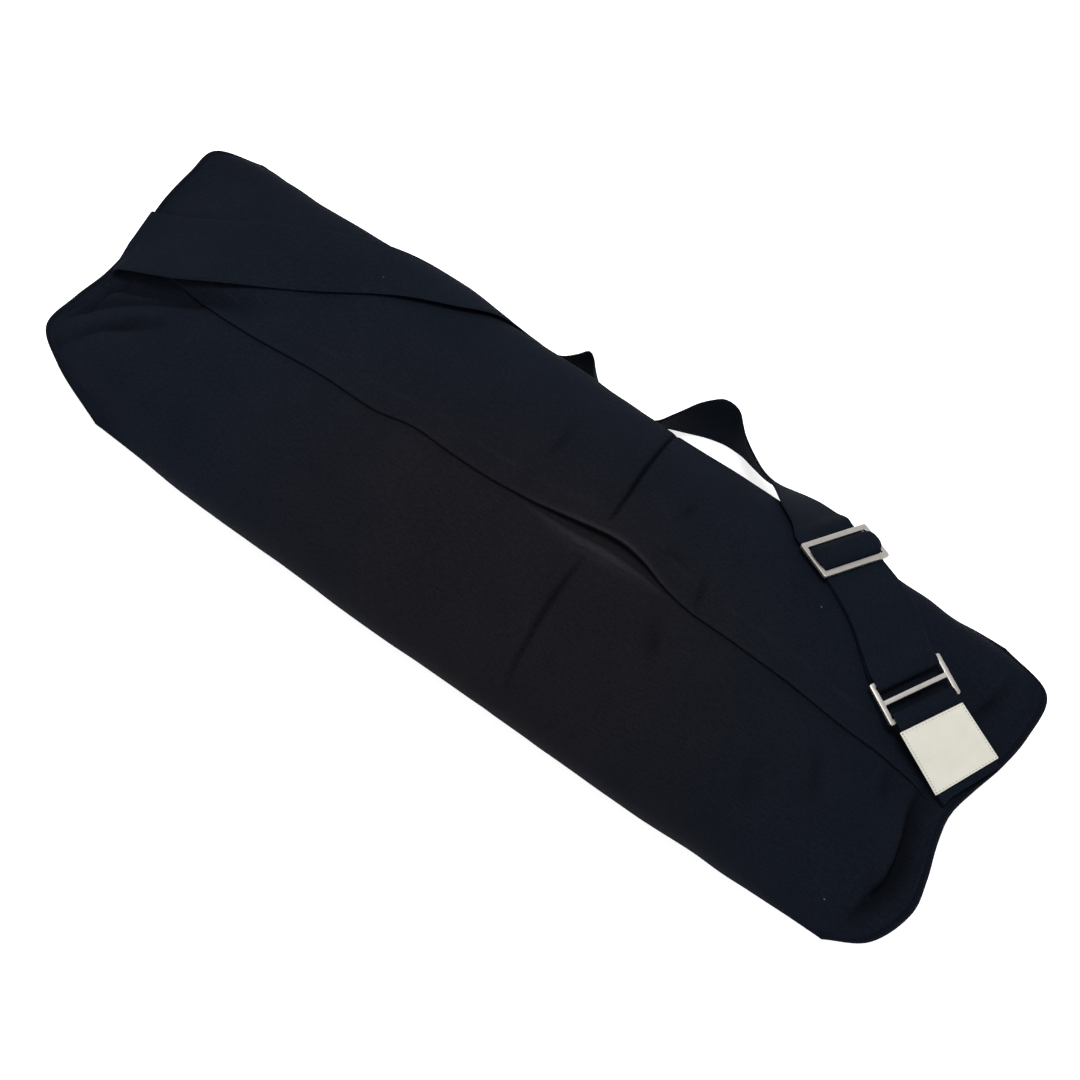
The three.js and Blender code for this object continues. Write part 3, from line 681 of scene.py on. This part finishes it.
# Ribbons: places across, closer together toward the edges; steps along; how the long edges are rounded
EVEN = np.linspace(-0.5, 0.5, 25)
EDGE_BIAS = 0.35
ACROSS = EDGE_BIAS * np.sin(np.pi * EVEN) / 2 + (1 - EDGE_BIAS) * EVEN
DRAPED_STEPS = 18
RIBBON_STEP = 2.6
TAB_STEP = 1.6
LABEL_STEPS = 41
EDGE_FULLNESS = 1.3
EDGE_THIN = 0.04

# Lifted near edge of the strap toward its sewn end, hinged at a place across
STRAP_LIFT_HINGE = 0.25
STRAP_LIFT = 4.5
STRAP_LIFT_FROM = -205
STRAP_LIFT_FULL = -262
STRAP_LIFT_ENDS = (-326, -336)

# Strap's cover in the slider: its edges droop beyond a share of the width and spread over the frame's
# sides, and its far edge is pinched by the row where it goes in
DROOP = 2.2
DROOP_FROM = 0.38
SPREAD_NEAR = 1.2
SPREAD_FAR = 3.4
ENTRY_PINCH = 2.4
ENTRY_ROW = 0.4
ENTRY_HALF = 1.5 ** -0.5


def draped(rows):
    """Ribbon sections that follow the body's curve, by x, girth, heading, width and rise."""
    x, girth, heading, width, rise = np.array(rows, float).T[..., None]
    offset, turned = ACROSS * width, np.radians(heading)
    return on_body(x - np.sin(turned) * offset, girth + np.cos(turned) * offset, rise + 0 * offset)


def straight(middles, across, width):
    """Straight ribbon sections about their middles."""
    return middles[:, None] + ACROSS[:, None] * width * across.reshape(-1, 1, 3)


def bridged(place, width, rise):
    """Ribbon section that stays straight, tangent to the body at its middle."""
    reach, heading = 4, np.radians(place["heading"])
    aside = reach * np.array([-1, 0, 1])
    xs, girths = place["x"] - np.sin(heading) * aside, place["girth"] + np.cos(heading) * aside
    before, centre, after = on_body(xs, girths, rise)
    return straight(centre[None], unit(after - before), width)


def standing(rows):
    """Ribbon sections standing on edge, upper edge first."""
    rows = np.array(rows, float)
    middles, lean = rows[:, :3], np.radians(rows[:, 3:])
    share = np.arange(len(rows)) / (len(rows) - 1)
    heading = curve(middles, np.minimum(share + 1e-4, 1)) - curve(middles, np.maximum(share - 1e-4, 0))
    heading = unit(heading * (1, 1, 0))
    aside = np.stack([-heading[:, 1], heading[:, 0], 0 * share], -1)
    down = np.array([0, 0, -1]) * np.cos(lean) - aside * np.sin(lean)
    return straight(middles, down, STANDING_WIDTH)


def climbing(rows):
    """Ribbon sections by their centres and directions across."""
    centres, across = (np.array(column, float) for column in zip(*rows))
    return straight(centres, unit(across), CLIMB_WIDTH)


def slide_axes(place):
    across = unit(np.array(place["across"]))
    out = unit(np.cross(across, place["along"]))
    return across, np.cross(out, across), out, np.array(place["centre"], float)


def threaded(place, rows, width):
    """Ribbon sections in a slide, by their distances along and out from its middle."""
    across, along, out, centre = slide_axes(place)
    return straight(np.array([centre + a * along + o * out for a, o in rows]), across, width)


def through(sections, step=RIBBON_STEP):
    """Even rows of points of a ribbon through its sections, and the place of each row among them."""
    middle = sections[:, len(ACROSS) // 2]
    spans = len(sections) - 1
    places = []
    for i in range(spans):
        parts = max(1, round(np.linalg.norm(middle[i + 1] - middle[i]) / step))
        places += [i + part / parts for part in range(parts)]
    places = np.array(places + [spans])
    return curve(sections, places / spans), places


def ribbon_piece(name, rows, low, high, swell=0.0):
    """Closed ribbon between two offsets from its rows, its long edges rounded."""
    out = -outward(rows)
    run, wide = measured(rows), measured(rows, 1)
    from_edge = np.minimum(wide, wide[:, -1:] - wide)
    half, middle = (high - low) / 2, rows.shape[1] // 2
    thick = half * np.maximum(quarter_round(from_edge, half * EDGE_FULLNESS), EDGE_THIN)[..., None]
    lifted = rows + out * (0 * wide + (high + low) / 2 + swell)[..., None]
    uv = np.stack([0 * wide + run[:, middle:middle + 1], wide], -1)
    tone = band(from_edge, RIBBON_WEAR)
    return cloth_piece(name, lifted + out * thick, lifted - out * thick, uv, uv, tone)


def make_strap():
    left = np.array(STRAP_LEFT, float)
    share = np.linspace(0, 1, DRAPED_STEPS + 1)
    laid = draped(np.column_stack([curve(left[:, :3], share), curve(left[:, 3:], share)]))
    cover_from = len(laid) + len(STRAP_STANDING) + len(STRAP_CLIMB)
    sections = np.concatenate([
        laid,
        standing(STRAP_STANDING),
        climbing(STRAP_CLIMB),
        threaded(SLIDER_AT, OVER_SLIDER, HARDWARE_WIDTH),
        bridged(DOUBLED, DOUBLED["width"], DOUBLED["over"]),
        threaded(RING_AT, AROUND_RING, HARDWARE_WIDTH),
        bridged(DOUBLED, DOUBLED["width"], DOUBLED["under"]),
        threaded(SLIDER_AT, TO_CENTRE_BAR, HARDWARE_WIDTH),
    ])
    rows, places = through(sections)
    x = rows[..., 0]
    lift = smooth(-x, -STRAP_LIFT_FROM, -STRAP_LIFT_FULL)
    lift = lift * (1 - smooth(-x, -STRAP_LIFT_ENDS[0], -STRAP_LIFT_ENDS[1]))
    swell = STRAP_LIFT * lift * np.clip(STRAP_LIFT_HINGE - ACROSS, 0, 1) ** 1.5 / 0.65
    into_cover = places - cover_from
    arch = np.array([max(out, 0) for _, out in OVER_SLIDER])
    arch = np.interp(into_cover, np.arange(len(arch)), arch / arch.max(), left=0, right=0)[:, None]
    swell = swell - DROOP * arch * np.clip((np.abs(ACROSS) - DROOP_FROM) / (0.5 - DROOP_FROM), 0, 1) ** 2
    spread = np.where(ACROSS < 0, SPREAD_NEAR, SPREAD_FAR) * np.sign(ACROSS) * (2 * ACROSS) ** 2
    pinch = ENTRY_PINCH * bell(into_cover - ENTRY_ROW, ENTRY_HALF)[:, None] * np.clip(2 * ACROSS, 0, 1)
    rows = rows + (arch * spread - pinch)[..., None] * slide_axes(SLIDER_AT)[0]
    return ribbon_piece("strap_band", rows, -CLOTH / 2, CLOTH / 2, swell)


def make_tab():
    sewn = TAB_END["x"], TAB_END["girth"], TAB_END["heading"], TAB_WIDTH
    over, under = draped([(*sewn, TAB_OVER)]), draped([(*sewn, TAB_UNDER)])
    sections = np.concatenate([over, threaded(RING_AT, TAB_LOOP, TAB_WIDTH), under])
    return ribbon_piece("tab_loop", through(sections, TAB_STEP)[0], -CLOTH / 2, CLOTH / 2)


def label_rows():
    across = slide_axes(RING_AT)[0]
    first = threaded(RING_AT, TAB_LOOP[:1], LABEL_WIDTH) + LABEL_ASIDE[0] * across
    last = bridged(TAB_END, LABEL_WIDTH, TAB_OVER) + LABEL_ASIDE[1] * across
    return first + (last - first) * np.linspace(LABEL_FROM, LABEL_TO, LABEL_STEPS)[:, None, None]


def make_label():
    rise = CLOTH / 2 + LABEL_RISE
    return ribbon_piece("label_cloth", label_rows(), rise, rise + LABEL_CLOTH)


def make_slide(name, place, bar):
    """Flat frame with a centre bar, its corners rounded and its rims bevelled."""
    half_width, half_height = SLIDE_WIDTH / 2, SLIDE_HEIGHT / 2
    xs = [-half_width, SLIDE_SIDE - half_width, half_width - SLIDE_SIDE, half_width]
    ys = [-half_height, bar - half_height, -bar / 2, bar / 2, half_height - bar, half_height]
    slots = [(1, 1), (1, 3)]
    bm = bmesh.new()
    grid = [[bm.verts.new((x, y, -SLIDE_THICK / 2)) for y in ys] for x in xs]
    for i in range(len(xs) - 1):
        for j in range(len(ys) - 1):
            if (i, j) not in slots:
                bm.faces.new([grid[i][j], grid[i][j + 1], grid[i + 1][j + 1], grid[i + 1][j]])
    raised = bmesh.ops.extrude_face_region(bm, geom=bm.faces[:], use_keep_orig=True)["geom"]
    raised = [v for v in raised if isinstance(v, bmesh.types.BMVert)]
    bmesh.ops.translate(bm, verts=raised, vec=(0, 0, SLIDE_THICK))
    bmesh.ops.recalc_face_normals(bm, faces=bm.faces[:])
    bmesh.ops.dissolve_limit(bm, angle_limit=0.01, verts=bm.verts[:], edges=bm.edges[:])

    def upright(edge):
        return abs(edge.verts[0].co.z - edge.verts[1].co.z) > SLIDE_THICK / 2

    def outer(edge):
        return abs(edge.verts[0].co.x) > half_width - 0.01 and abs(edge.verts[0].co.y) > half_height - 0.01

    for wanted, corner in ((True, SLIDE_CORNER), (False, SLOT_CORNER)):
        edges = [e for e in bm.edges if upright(e) and outer(e) == wanted and e.calc_face_angle(0) > 0.5]
        bmesh.ops.bevel(bm, geom=edges, offset=corner, segments=5, profile=0.5, affect="EDGES")
    rims = [e for e in bm.edges if e.is_manifold and not upright(e) and e.calc_face_angle(0) > 0.8]
    bmesh.ops.bevel(bm, geom=rims, offset=SLIDE_EDGE, segments=3, profile=0.5, affect="EDGES")
    bmesh.ops.recalc_face_normals(bm, faces=bm.faces[:])
    across, along, out, centre = slide_axes(place)
    flat = np.array([v.co[:] for v in bm.verts])
    bm.verts.index_update()
    faces = [[v.index for v in f.verts] for f in bm.faces]
    bm.free()
    return new_piece(name, centre + flat @ np.stack([across, along, out]), faces, flat[:, :2], sharp=40)


# Stitches: distance between them, length, width and height of the thread, in millimetres
STITCH_SIZES = ("Pitch", "Stitch length", "Thread width", "Thread height")
HEM_STITCH = (3.1, 2.5, 0.5, 0.3)
SEAM_STITCH = (3.3, 2.6, 0.5, 0.3)
LABEL_STITCH = (2.4, 1.6, 0.4, 0.3)

# Row by the end seam where the hem's stitches begin, and lines left out at the edges of the others
HEM_FROM = 13.6
SEAM_MARGIN = 3
LABEL_INSET = 1


def live(sockets):
    """Sockets in use, by name."""
    return {socket.name: socket for socket in sockets if socket.enabled}


class Nodes:
    """A node tree under construction, with short ways to add nodes to it."""

    def __init__(self, tree):
        self.tree = tree

    def feed(self, socket, value):
        if isinstance(value, bpy.types.NodeSocket):
            self.tree.links.new(value, socket)
        else:
            socket.default_value = value

    def node(self, kind, settings=None, **inputs):
        """The outputs of a new node with these settings and inputs."""
        made = self.tree.nodes.new(kind)
        for name, value in (settings or {}).items():
            setattr(made, name, value)
        for name, value in inputs.items():
            self.feed(live(made.inputs)[name.replace("_", " ")], value)
        return live(made.outputs)

    def math(self, operation, first, second=0.0, third=0.0, clamp=False):
        made = self.tree.nodes.new("ShaderNodeMath")
        made.operation, made.use_clamp = operation, clamp
        for socket, value in zip(made.inputs, (first, second, third)):
            self.feed(socket, value)
        return made.outputs["Value"]


def stitch_tree():
    """Threads laid along a path of points, each turned to the path and to the cloth under it."""
    tree = bpy.data.node_groups.new("thread_stitches", "GeometryNodeTree")
    sizes = [(name, "Float") for name in STITCH_SIZES]
    for name, kind in [("Path", "Geometry"), *sizes, ("Seed", "Int"), ("Thread", "Material")]:
        tree.interface.new_socket(name, in_out="INPUT", socket_type="NodeSocket" + kind)
    tree.interface.new_socket("Stitches", in_out="OUTPUT", socket_type="NodeSocketGeometry")
    node = Nodes(tree).node
    given = node("NodeGroupInput")
    path = node("GeometryNodeMeshToCurve", Mesh=given["Path"])["Curve"]
    spaced = node("GeometryNodeResampleCurve", {"mode": "LENGTH"}, Curve=path, Length=given["Pitch"])["Curve"]
    run = node("GeometryNodeInputTangent")["Tangent"]
    cloth = node("GeometryNodeInputNamedAttribute", {"data_type": "FLOAT_VECTOR"}, Name="cloth_out")
    turned = node("FunctionNodeAlignRotationToVector", {"axis": "X"}, Vector=run)["Rotation"]
    turned = node("FunctionNodeAlignRotationToVector", {"axis": "Z", "pivot_axis": "X"}, Rotation=turned,
                  Vector=cloth["Attribute"])["Rotation"]
    uneven = node("FunctionNodeRandomValue", {"data_type": "FLOAT"}, Min=0.86, Max=1.08, Seed=given["Seed"])
    long = Nodes(tree).math("MULTIPLY", given["Stitch length"], uneven["Value"])
    size = node("ShaderNodeCombineXYZ", X=long, Y=given["Thread width"], Z=given["Thread height"])["Vector"]
    thread = node("GeometryNodeMeshUVSphere", Segments=8, Rings=5, Radius=0.5)["Mesh"]
    placed = node("GeometryNodeInstanceOnPoints", Points=spaced, Instance=thread, Rotation=turned,
                  Scale=size)["Instances"]
    real = node("GeometryNodeRealizeInstances", Geometry=placed)["Geometry"]
    smoothed = node("GeometryNodeSetShadeSmooth", Geometry=real)["Geometry"]
    finished = node("GeometryNodeSetMaterial", Geometry=smoothed, Material=given["Thread"])["Geometry"]
    node("NodeGroupOutput", Stitches=finished)
    return tree


def make_stitches(name, tree, paths, stitch, thread, seed):
    """Plain mesh of the stitches along several paths, each a pair of points and cloth normals."""
    points, normals = (np.concatenate(column) for column in zip(*paths))
    edges, first = [], 0
    for places, _ in paths:
        edges += [(first + k, first + k + 1) for k in range(len(places) - 1)]
        first += len(places)
    mesh = bpy.data.meshes.new(name + "_path")
    mesh.from_pydata(points * MM, edges, [])
    mark(mesh, "cloth_out", "FLOAT_VECTOR", "vector", normals)
    path = show(name + "_path", mesh)
    modifier = path.modifiers.new("stitches", "NODES")
    modifier.node_group = tree
    values = dict(zip(STITCH_SIZES, (v * MM for v in stitch)), Seed=seed, Thread=thread)
    for socket in tree.interface.items_tree:
        if socket.name in values:
            modifier[socket.identifier] = values[socket.name]
    evaluated = path.evaluated_get(bpy.context.evaluated_depsgraph_get())
    made = bpy.data.meshes.new_from_object(evaluated)
    made.name = name
    path.modifiers.clear()
    bpy.data.objects.remove(path)
    return show(name, made)


def hem_path(outer, out):
    """The flap's stitch line, from seam to seam."""
    column, first = -1 - HEM_COLUMNS.index(HEM_DEPTH), SEAM_ROWS.index(HEM_FROM)
    rows = slice(first, len(outer) - first)
    return outer[rows, column], out[rows, column]


def seam_path(outer, out, row):
    """An end seam's stitch line, once around the flattened end."""
    columns = slice(SEAM_MARGIN, -SEAM_MARGIN)
    return outer[row, columns], out[row, columns]


def label_paths():
    """Stitch lines just inside the label's four edges."""
    rows = label_rows()
    out = -outward(rows)
    top = rows + out * (CLOTH / 2 + LABEL_RISE + LABEL_CLOTH)
    first, last, inside = LABEL_INSET, -1 - LABEL_INSET, slice(LABEL_INSET, -LABEL_INSET)
    lines = [(inside, first), (inside, last), (first, inside), (last, inside)]
    return [(top[line], out[line]) for line in lines]


class Shader(Nodes):
    """A material under construction, with its surface and the coordinates to shade it by."""

    def __init__(self, name):
        self.material = bpy.data.materials.new(name)
        self.material.use_nodes = True
        super().__init__(self.material.node_tree)
        self.surface = self.tree.nodes["Principled BSDF"].inputs
        self.where = self.node("ShaderNodeTexCoord")

    def set(self, **values):
        for name, value in values.items():
            self.feed(self.surface[name.replace("_", " ")], value)

    def times(self, first, *others):
        for other in others:
            first = self.math("MULTIPLY", first, other)
        return first

    def scaled(self, value, by, plus):
        return self.math("MULTIPLY_ADD", value, by, plus)

    def vector(self, operation, first, second=(0, 0, 0)):
        made = self.tree.nodes.new("ShaderNodeVectorMath")
        made.operation = operation
        self.feed(made.inputs[0], first)
        self.feed(made.inputs[1], second)
        return made.outputs["Value" if operation == "LENGTH" else "Vector"]

    def noise(self, where, scale, detail=2.0, roughness=0.5):
        settings = {"Vector": where, "Scale": scale, "Detail": detail, "Roughness": roughness}
        return self.node("ShaderNodeTexNoise", **settings)["Fac"]

    def ramp(self, value, low, high, first, last):
        ends = {"From Min": low, "From Max": high, "To Min": first, "To Max": last}
        settings = {"interpolation_type": "SMOOTHSTEP"}
        return self.node("ShaderNodeMapRange", settings, Value=value, **ends)["Result"]

    def blend(self, share, first, last, mode="MIX"):
        settings = {"data_type": "RGBA", "blend_type": mode}
        return self.node("ShaderNodeMix", settings, Factor=share, A=first, B=last)["Result"]

    def painted_light_and_wear(self):
        """Tone stored with the points of the cloth: rubbed pale and painted highlights above nought, painted
        shade below.
        """
        return self.node("ShaderNodeAttribute", {"attribute_name": "wear"})["Fac"]

    def bump(self, height, strength, distance):
        made = self.node("ShaderNodeBump", Strength=strength, Distance=distance, Height=height)
        self.set(Normal=made["Normal"])

    def weave(self, pitch):
        """Height of a plain weave on the cloth's own map, threads a pitch apart."""
        split = self.node("ShaderNodeSeparateXYZ", Vector=self.where["UV"])
        across, along = (self.math("SINE", self.times(split[axis], np.pi / pitch)) for axis in "XY")
        return self.scaled(self.times(across, along), 0.5, 0.5)


def grey(value):
    return (value, value, value, 1)


# Colours, and the pitches of the weaves in metres
NAVY = (0.0061, 0.0080, 0.0132, 1)
FADED = (0.0084, 0.0081, 0.0104, 1)
STRAP_NAVY = (0.0059, 0.0080, 0.0131, 1)
STRAP_FADED = (0.0065, 0.0081, 0.0125, 1)
# pale of rubbed cloth, also used for painted highlights
PALE_WEAR_AND_HIGHLIGHT = (0.026, 0.026, 0.030, 1)
# painted shade of folds and seam grooves
PAINTED_SHADE_TONE = (0.0012, 0.0010, 0.0012, 1)
LINT = (0.16, 0.165, 0.18, 1)
DARK_THREAD = (0.0068, 0.0085, 0.0132)
LABEL_THREAD = (0.26, 0.25, 0.21)
NICKEL = [(0.42, 0.395, 0.365, 1), (0.56, 0.535, 0.51, 1)]
CREAM = [(0.58, 0.565, 0.485, 1), (0.68, 0.665, 0.59, 1)]
SOILED = (0.34, 0.32, 0.25, 1)
COTTON_WEAVE = 0.00062
CREAM_WEAVE = 0.00045

# Where the body's cotton has faded, how fast that falls off along each axis, and its ends; then the ends of
# the painted shade that darkens the cotton toward the label end
FADED_AT = (0.03, -0.055, 0.09)
FADED_FALL = (5.0, 8.0, 3.0)
FADED_ENDS = (0.25, 1.35)
LABEL_END_PAINTED_SHADE = (-0.05, 0.34)


def cotton(name, navy, faded):
    """Soft dark cotton: fine weave, slubs, a faded middle, painted shade toward the label end and in folds,
    rubbed edges with painted highlights, and lint.
    """
    shade = Shader(name)
    where, cloth = shade.where["Object"], shade.where["UV"]
    weave = shade.weave(COTTON_WEAVE)
    slub = shade.noise(shade.vector("MULTIPLY", cloth, (1, 5, 1)), 190, 3, 0.6)
    fleck = shade.noise(cloth, 620, 2, 0.6)
    patches = shade.noise(where, 26, 4, 0.62)
    drift = shade.noise(where, 7, 2, 0.5)

    # faded toward the middle, in patches, and darker toward the label end by painted shade
    away = shade.vector("MULTIPLY", shade.vector("SUBTRACT", where, FADED_AT), FADED_FALL)
    middle = shade.ramp(shade.vector("LENGTH", away), *FADED_ENDS, 1.0, 0.0)
    uneven = shade.scaled(shade.math("ADD", patches, drift), 0.8, 0.2)
    tone = shade.blend(shade.math("MULTIPLY", middle, uneven, clamp=True), navy, faded)
    along = shade.node("ShaderNodeSeparateXYZ", Vector=where)["X"]
    # painted shade: the cotton darker toward the label end
    cloud = shade.times(shade.scaled(patches, 0.4, 0.8), shade.ramp(along, *LABEL_END_PAINTED_SHADE, 1.0, 0.84))
    grain = shade.times(shade.scaled(slub, 0.9, 0.55), shade.scaled(fleck, 0.8, 0.6))
    grain = shade.times(grain, shade.scaled(weave, 0.3, 0.85))
    tone = shade.blend(1.0, tone, shade.times(cloud, grain), "MULTIPLY")

    # painted shade in folds and seam grooves, rubbed edges with painted highlights, and rare specks of lint
    painted_light_and_wear = shade.painted_light_and_wear()
    # painted shade where the tone is below nought
    tone = shade.blend(shade.math("MULTIPLY", painted_light_and_wear, -1.0, clamp=True), tone, PAINTED_SHADE_TONE)
    # rubbed pale and painted highlights where the tone is above nought
    tone = shade.blend(shade.math("MULTIPLY", painted_light_and_wear, shade.scaled(slub, 0.9, 0.1), clamp=True), tone, PALE_WEAR_AND_HIGHLIGHT)
    cells = shade.node("ShaderNodeTexVoronoi", Vector=where, Scale=30.0)
    speck = shade.math("LESS_THAN", cells["Distance"], 0.013)
    chance = shade.node("ShaderNodeSeparateColor", Color=cells["Color"])["Red"]
    tone = shade.blend(shade.times(speck, shade.math("GREATER_THAN", chance, 0.72), 0.7), tone, LINT)
    shade.set(Base_Color=tone, Roughness=shade.scaled(slub, 0.2, 0.78))
    shade.set(Specular_IOR_Level=0.015, Sheen_Weight=0.0)
    shade.bump(shade.math("ADD", shade.times(weave, 0.5), shade.times(slub, 0.9)), 0.5, 0.0005)
    return shade.material


def thread(name, colour):
    """Twisted sewing thread."""
    shade = Shader(name)
    twist = shade.noise(shade.where["Object"], 2600, 2, 0.6)
    dark, light = ((*(min(share * c, 1) for c in colour), 1) for share in (0.6, 1.4))
    shade.set(Base_Color=shade.blend(twist, dark, light), Roughness=0.8, Specular_IOR_Level=0.03)
    shade.bump(twist, 0.4, 0.0001)
    return shade.material


def satin_nickel():
    """Brushed plated steel, lightly rubbed and a little warm."""
    shade = Shader("satin_nickel")
    brushed = shade.noise(shade.vector("MULTIPLY", shade.where["UV"], (120, 2600, 1)), 1.0, 3, 0.6)
    smudge = shade.noise(shade.where["Object"], 160, 3, 0.55)
    tone = shade.blend(smudge, *NICKEL)
    shade.set(Base_Color=tone, Roughness=shade.scaled(brushed, 0.22, 0.3), Metallic=1.0)
    shade.bump(brushed, 0.12, 0.0001)
    return shade.material


def cream_patch():
    """Cream woven patch with soft fibres and a slightly soiled border."""
    shade = Shader("cream_patch")
    weave = shade.weave(CREAM_WEAVE)
    fibre = shade.noise(shade.vector("MULTIPLY", shade.where["UV"], (1, 4, 1)), 420, 3, 0.6)
    cloud = shade.noise(shade.where["Object"], 70, 3, 0.5)
    grain = shade.scaled(shade.times(weave, fibre), 0.35, 0.85)
    tone = shade.blend(1.0, shade.blend(cloud, *CREAM), grain, "MULTIPLY")
    tone = shade.blend(shade.times(shade.painted_light_and_wear(), 0.35), tone, SOILED)
    shade.set(Base_Color=tone, Roughness=0.85, Specular_IOR_Level=0.2, Sheen_Weight=0.1)
    shade.bump(shade.math("ADD", weave, shade.times(fibre, 0.6)), 0.35, 0.0003)
    return shade.material


def pale_floor():
    shade = Shader("pale_floor")
    tone = shade.blend(shade.noise(shade.where["Object"], 3, 2), grey(0.88), grey(0.92))
    shade.set(Base_Color=tone, Roughness=0.8, Specular_IOR_Level=0.1)
    shade.set(Emission_Color=grey(1.0), Emission_Strength=FLOOR_GLOW)
    return shade.material


# Stage, light and camera
FLOOR_HALF = 6.0
KEY_FROM = (0.0, 0.4, 2.75)
KEY_SIZE = 0.9
KEY_POWER = 50
AMBIENT = 0.68
FLOOR_GLOW = 0.72
CAMERA_ELEVATION = 67
CAMERA_AZIMUTH = 36.5
CAMERA_DISTANCE = 1.320
CAMERA_TARGET = (0.017, 0, 0.040)
CAMERA_LENS = 67.0


def make_stage():
    mesh = bpy.data.meshes.new("floor")
    corners = [(-1, -1), (1, -1), (1, 1), (-1, 1)]
    mesh.from_pydata([(x * FLOOR_HALF, y * FLOOR_HALF, 0) for x, y in corners], [], [(0, 1, 2, 3)])
    mesh.materials.append(pale_floor())
    floor = show("floor", mesh)


def facing(direction):
    return direction.to_track_quat("-Z", "Y").to_euler()


def make_light():
    world = bpy.data.worlds.new("soft_room")
    world.use_nodes = True
    background = world.node_tree.nodes["Background"].inputs
    background["Color"].default_value = grey(1.0)
    background["Strength"].default_value = AMBIENT
    bpy.context.scene.world = world
    lamp = bpy.data.lights.new("window", "AREA")
    lamp.shape, lamp.size, lamp.energy = "DISK", KEY_SIZE, KEY_POWER
    window = show("window", lamp)
    window.location = KEY_FROM
    window.rotation_euler = facing(-Vector(KEY_FROM))


def make_camera():
    elevation, azimuth = np.radians(CAMERA_ELEVATION), np.radians(CAMERA_AZIMUTH)
    level = np.cos(elevation)
    back = Vector((np.sin(azimuth) * level, -np.cos(azimuth) * level, np.sin(elevation)))
    data = bpy.data.cameras.new("camera")
    data.lens = CAMERA_LENS
    camera = show("camera", data)
    camera.location = Vector(CAMERA_TARGET) + back * CAMERA_DISTANCE
    camera.rotation_euler = facing(-back)
    bpy.context.scene.camera = camera


body_cotton = cotton("body_cotton", NAVY, FADED)
strap_cotton = cotton("strap_cotton", STRAP_NAVY, STRAP_FADED)
nickel = satin_nickel()
cream = cream_patch()
dark_thread = thread("dark_thread", DARK_THREAD)
label_thread = thread("label_thread", LABEL_THREAD)

body, body_grid = make_body()
body_out = outward(body_grid)
strap = make_strap()
slider = make_slide("slider_frame", SLIDER_AT, SLIDER_BAR)
ring = make_slide("ring_frame", RING_AT, RING_BAR)
tab = make_tab()
label = make_label()
stitches = stitch_tree()
seam_row = SEAM_ROWS.index(SEAM_LINE)
seams = [seam_path(body_grid, body_out, row) for row in (seam_row, len(body_grid) - 1 - seam_row)]
hem = [hem_path(body_grid, body_out)]
border = label_paths()
hem_stitches = make_stitches("hem_stitches", stitches, hem, HEM_STITCH, dark_thread, SEED)
seam_stitches = make_stitches("seam_stitches", stitches, seams, SEAM_STITCH, dark_thread, SEED + 1)
label_stitches = make_stitches("label_stitches", stitches, border, LABEL_STITCH, label_thread, SEED + 2)

# Piece, look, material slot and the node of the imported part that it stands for
PIECES = [
    (body, body_cotton, "cotton_body", "bag_body"),
    (strap, strap_cotton, "cotton_strap", "shoulder_strap"),
    (slider, nickel, "nickel", "strap_slider"),
    (ring, nickel, "nickel", "strap_ring"),
    (tab, strap_cotton, "cotton_strap", "ring_tab"),
    (label, cream, "cream_cloth", "label_patch"),
    (hem_stitches, None, "cotton_body", None),
    (seam_stitches, None, "cotton_body", None),
    (label_stitches, None, "cream_cloth", None),
]
for piece, look, slot, node in PIECES:
    if look:
        piece.data.materials.append(look)
    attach(piece, "root")
    if node:
        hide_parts(node)

make_stage()
make_light()
make_camera()
bpy.context.scene.view_settings.view_transform = "Standard"
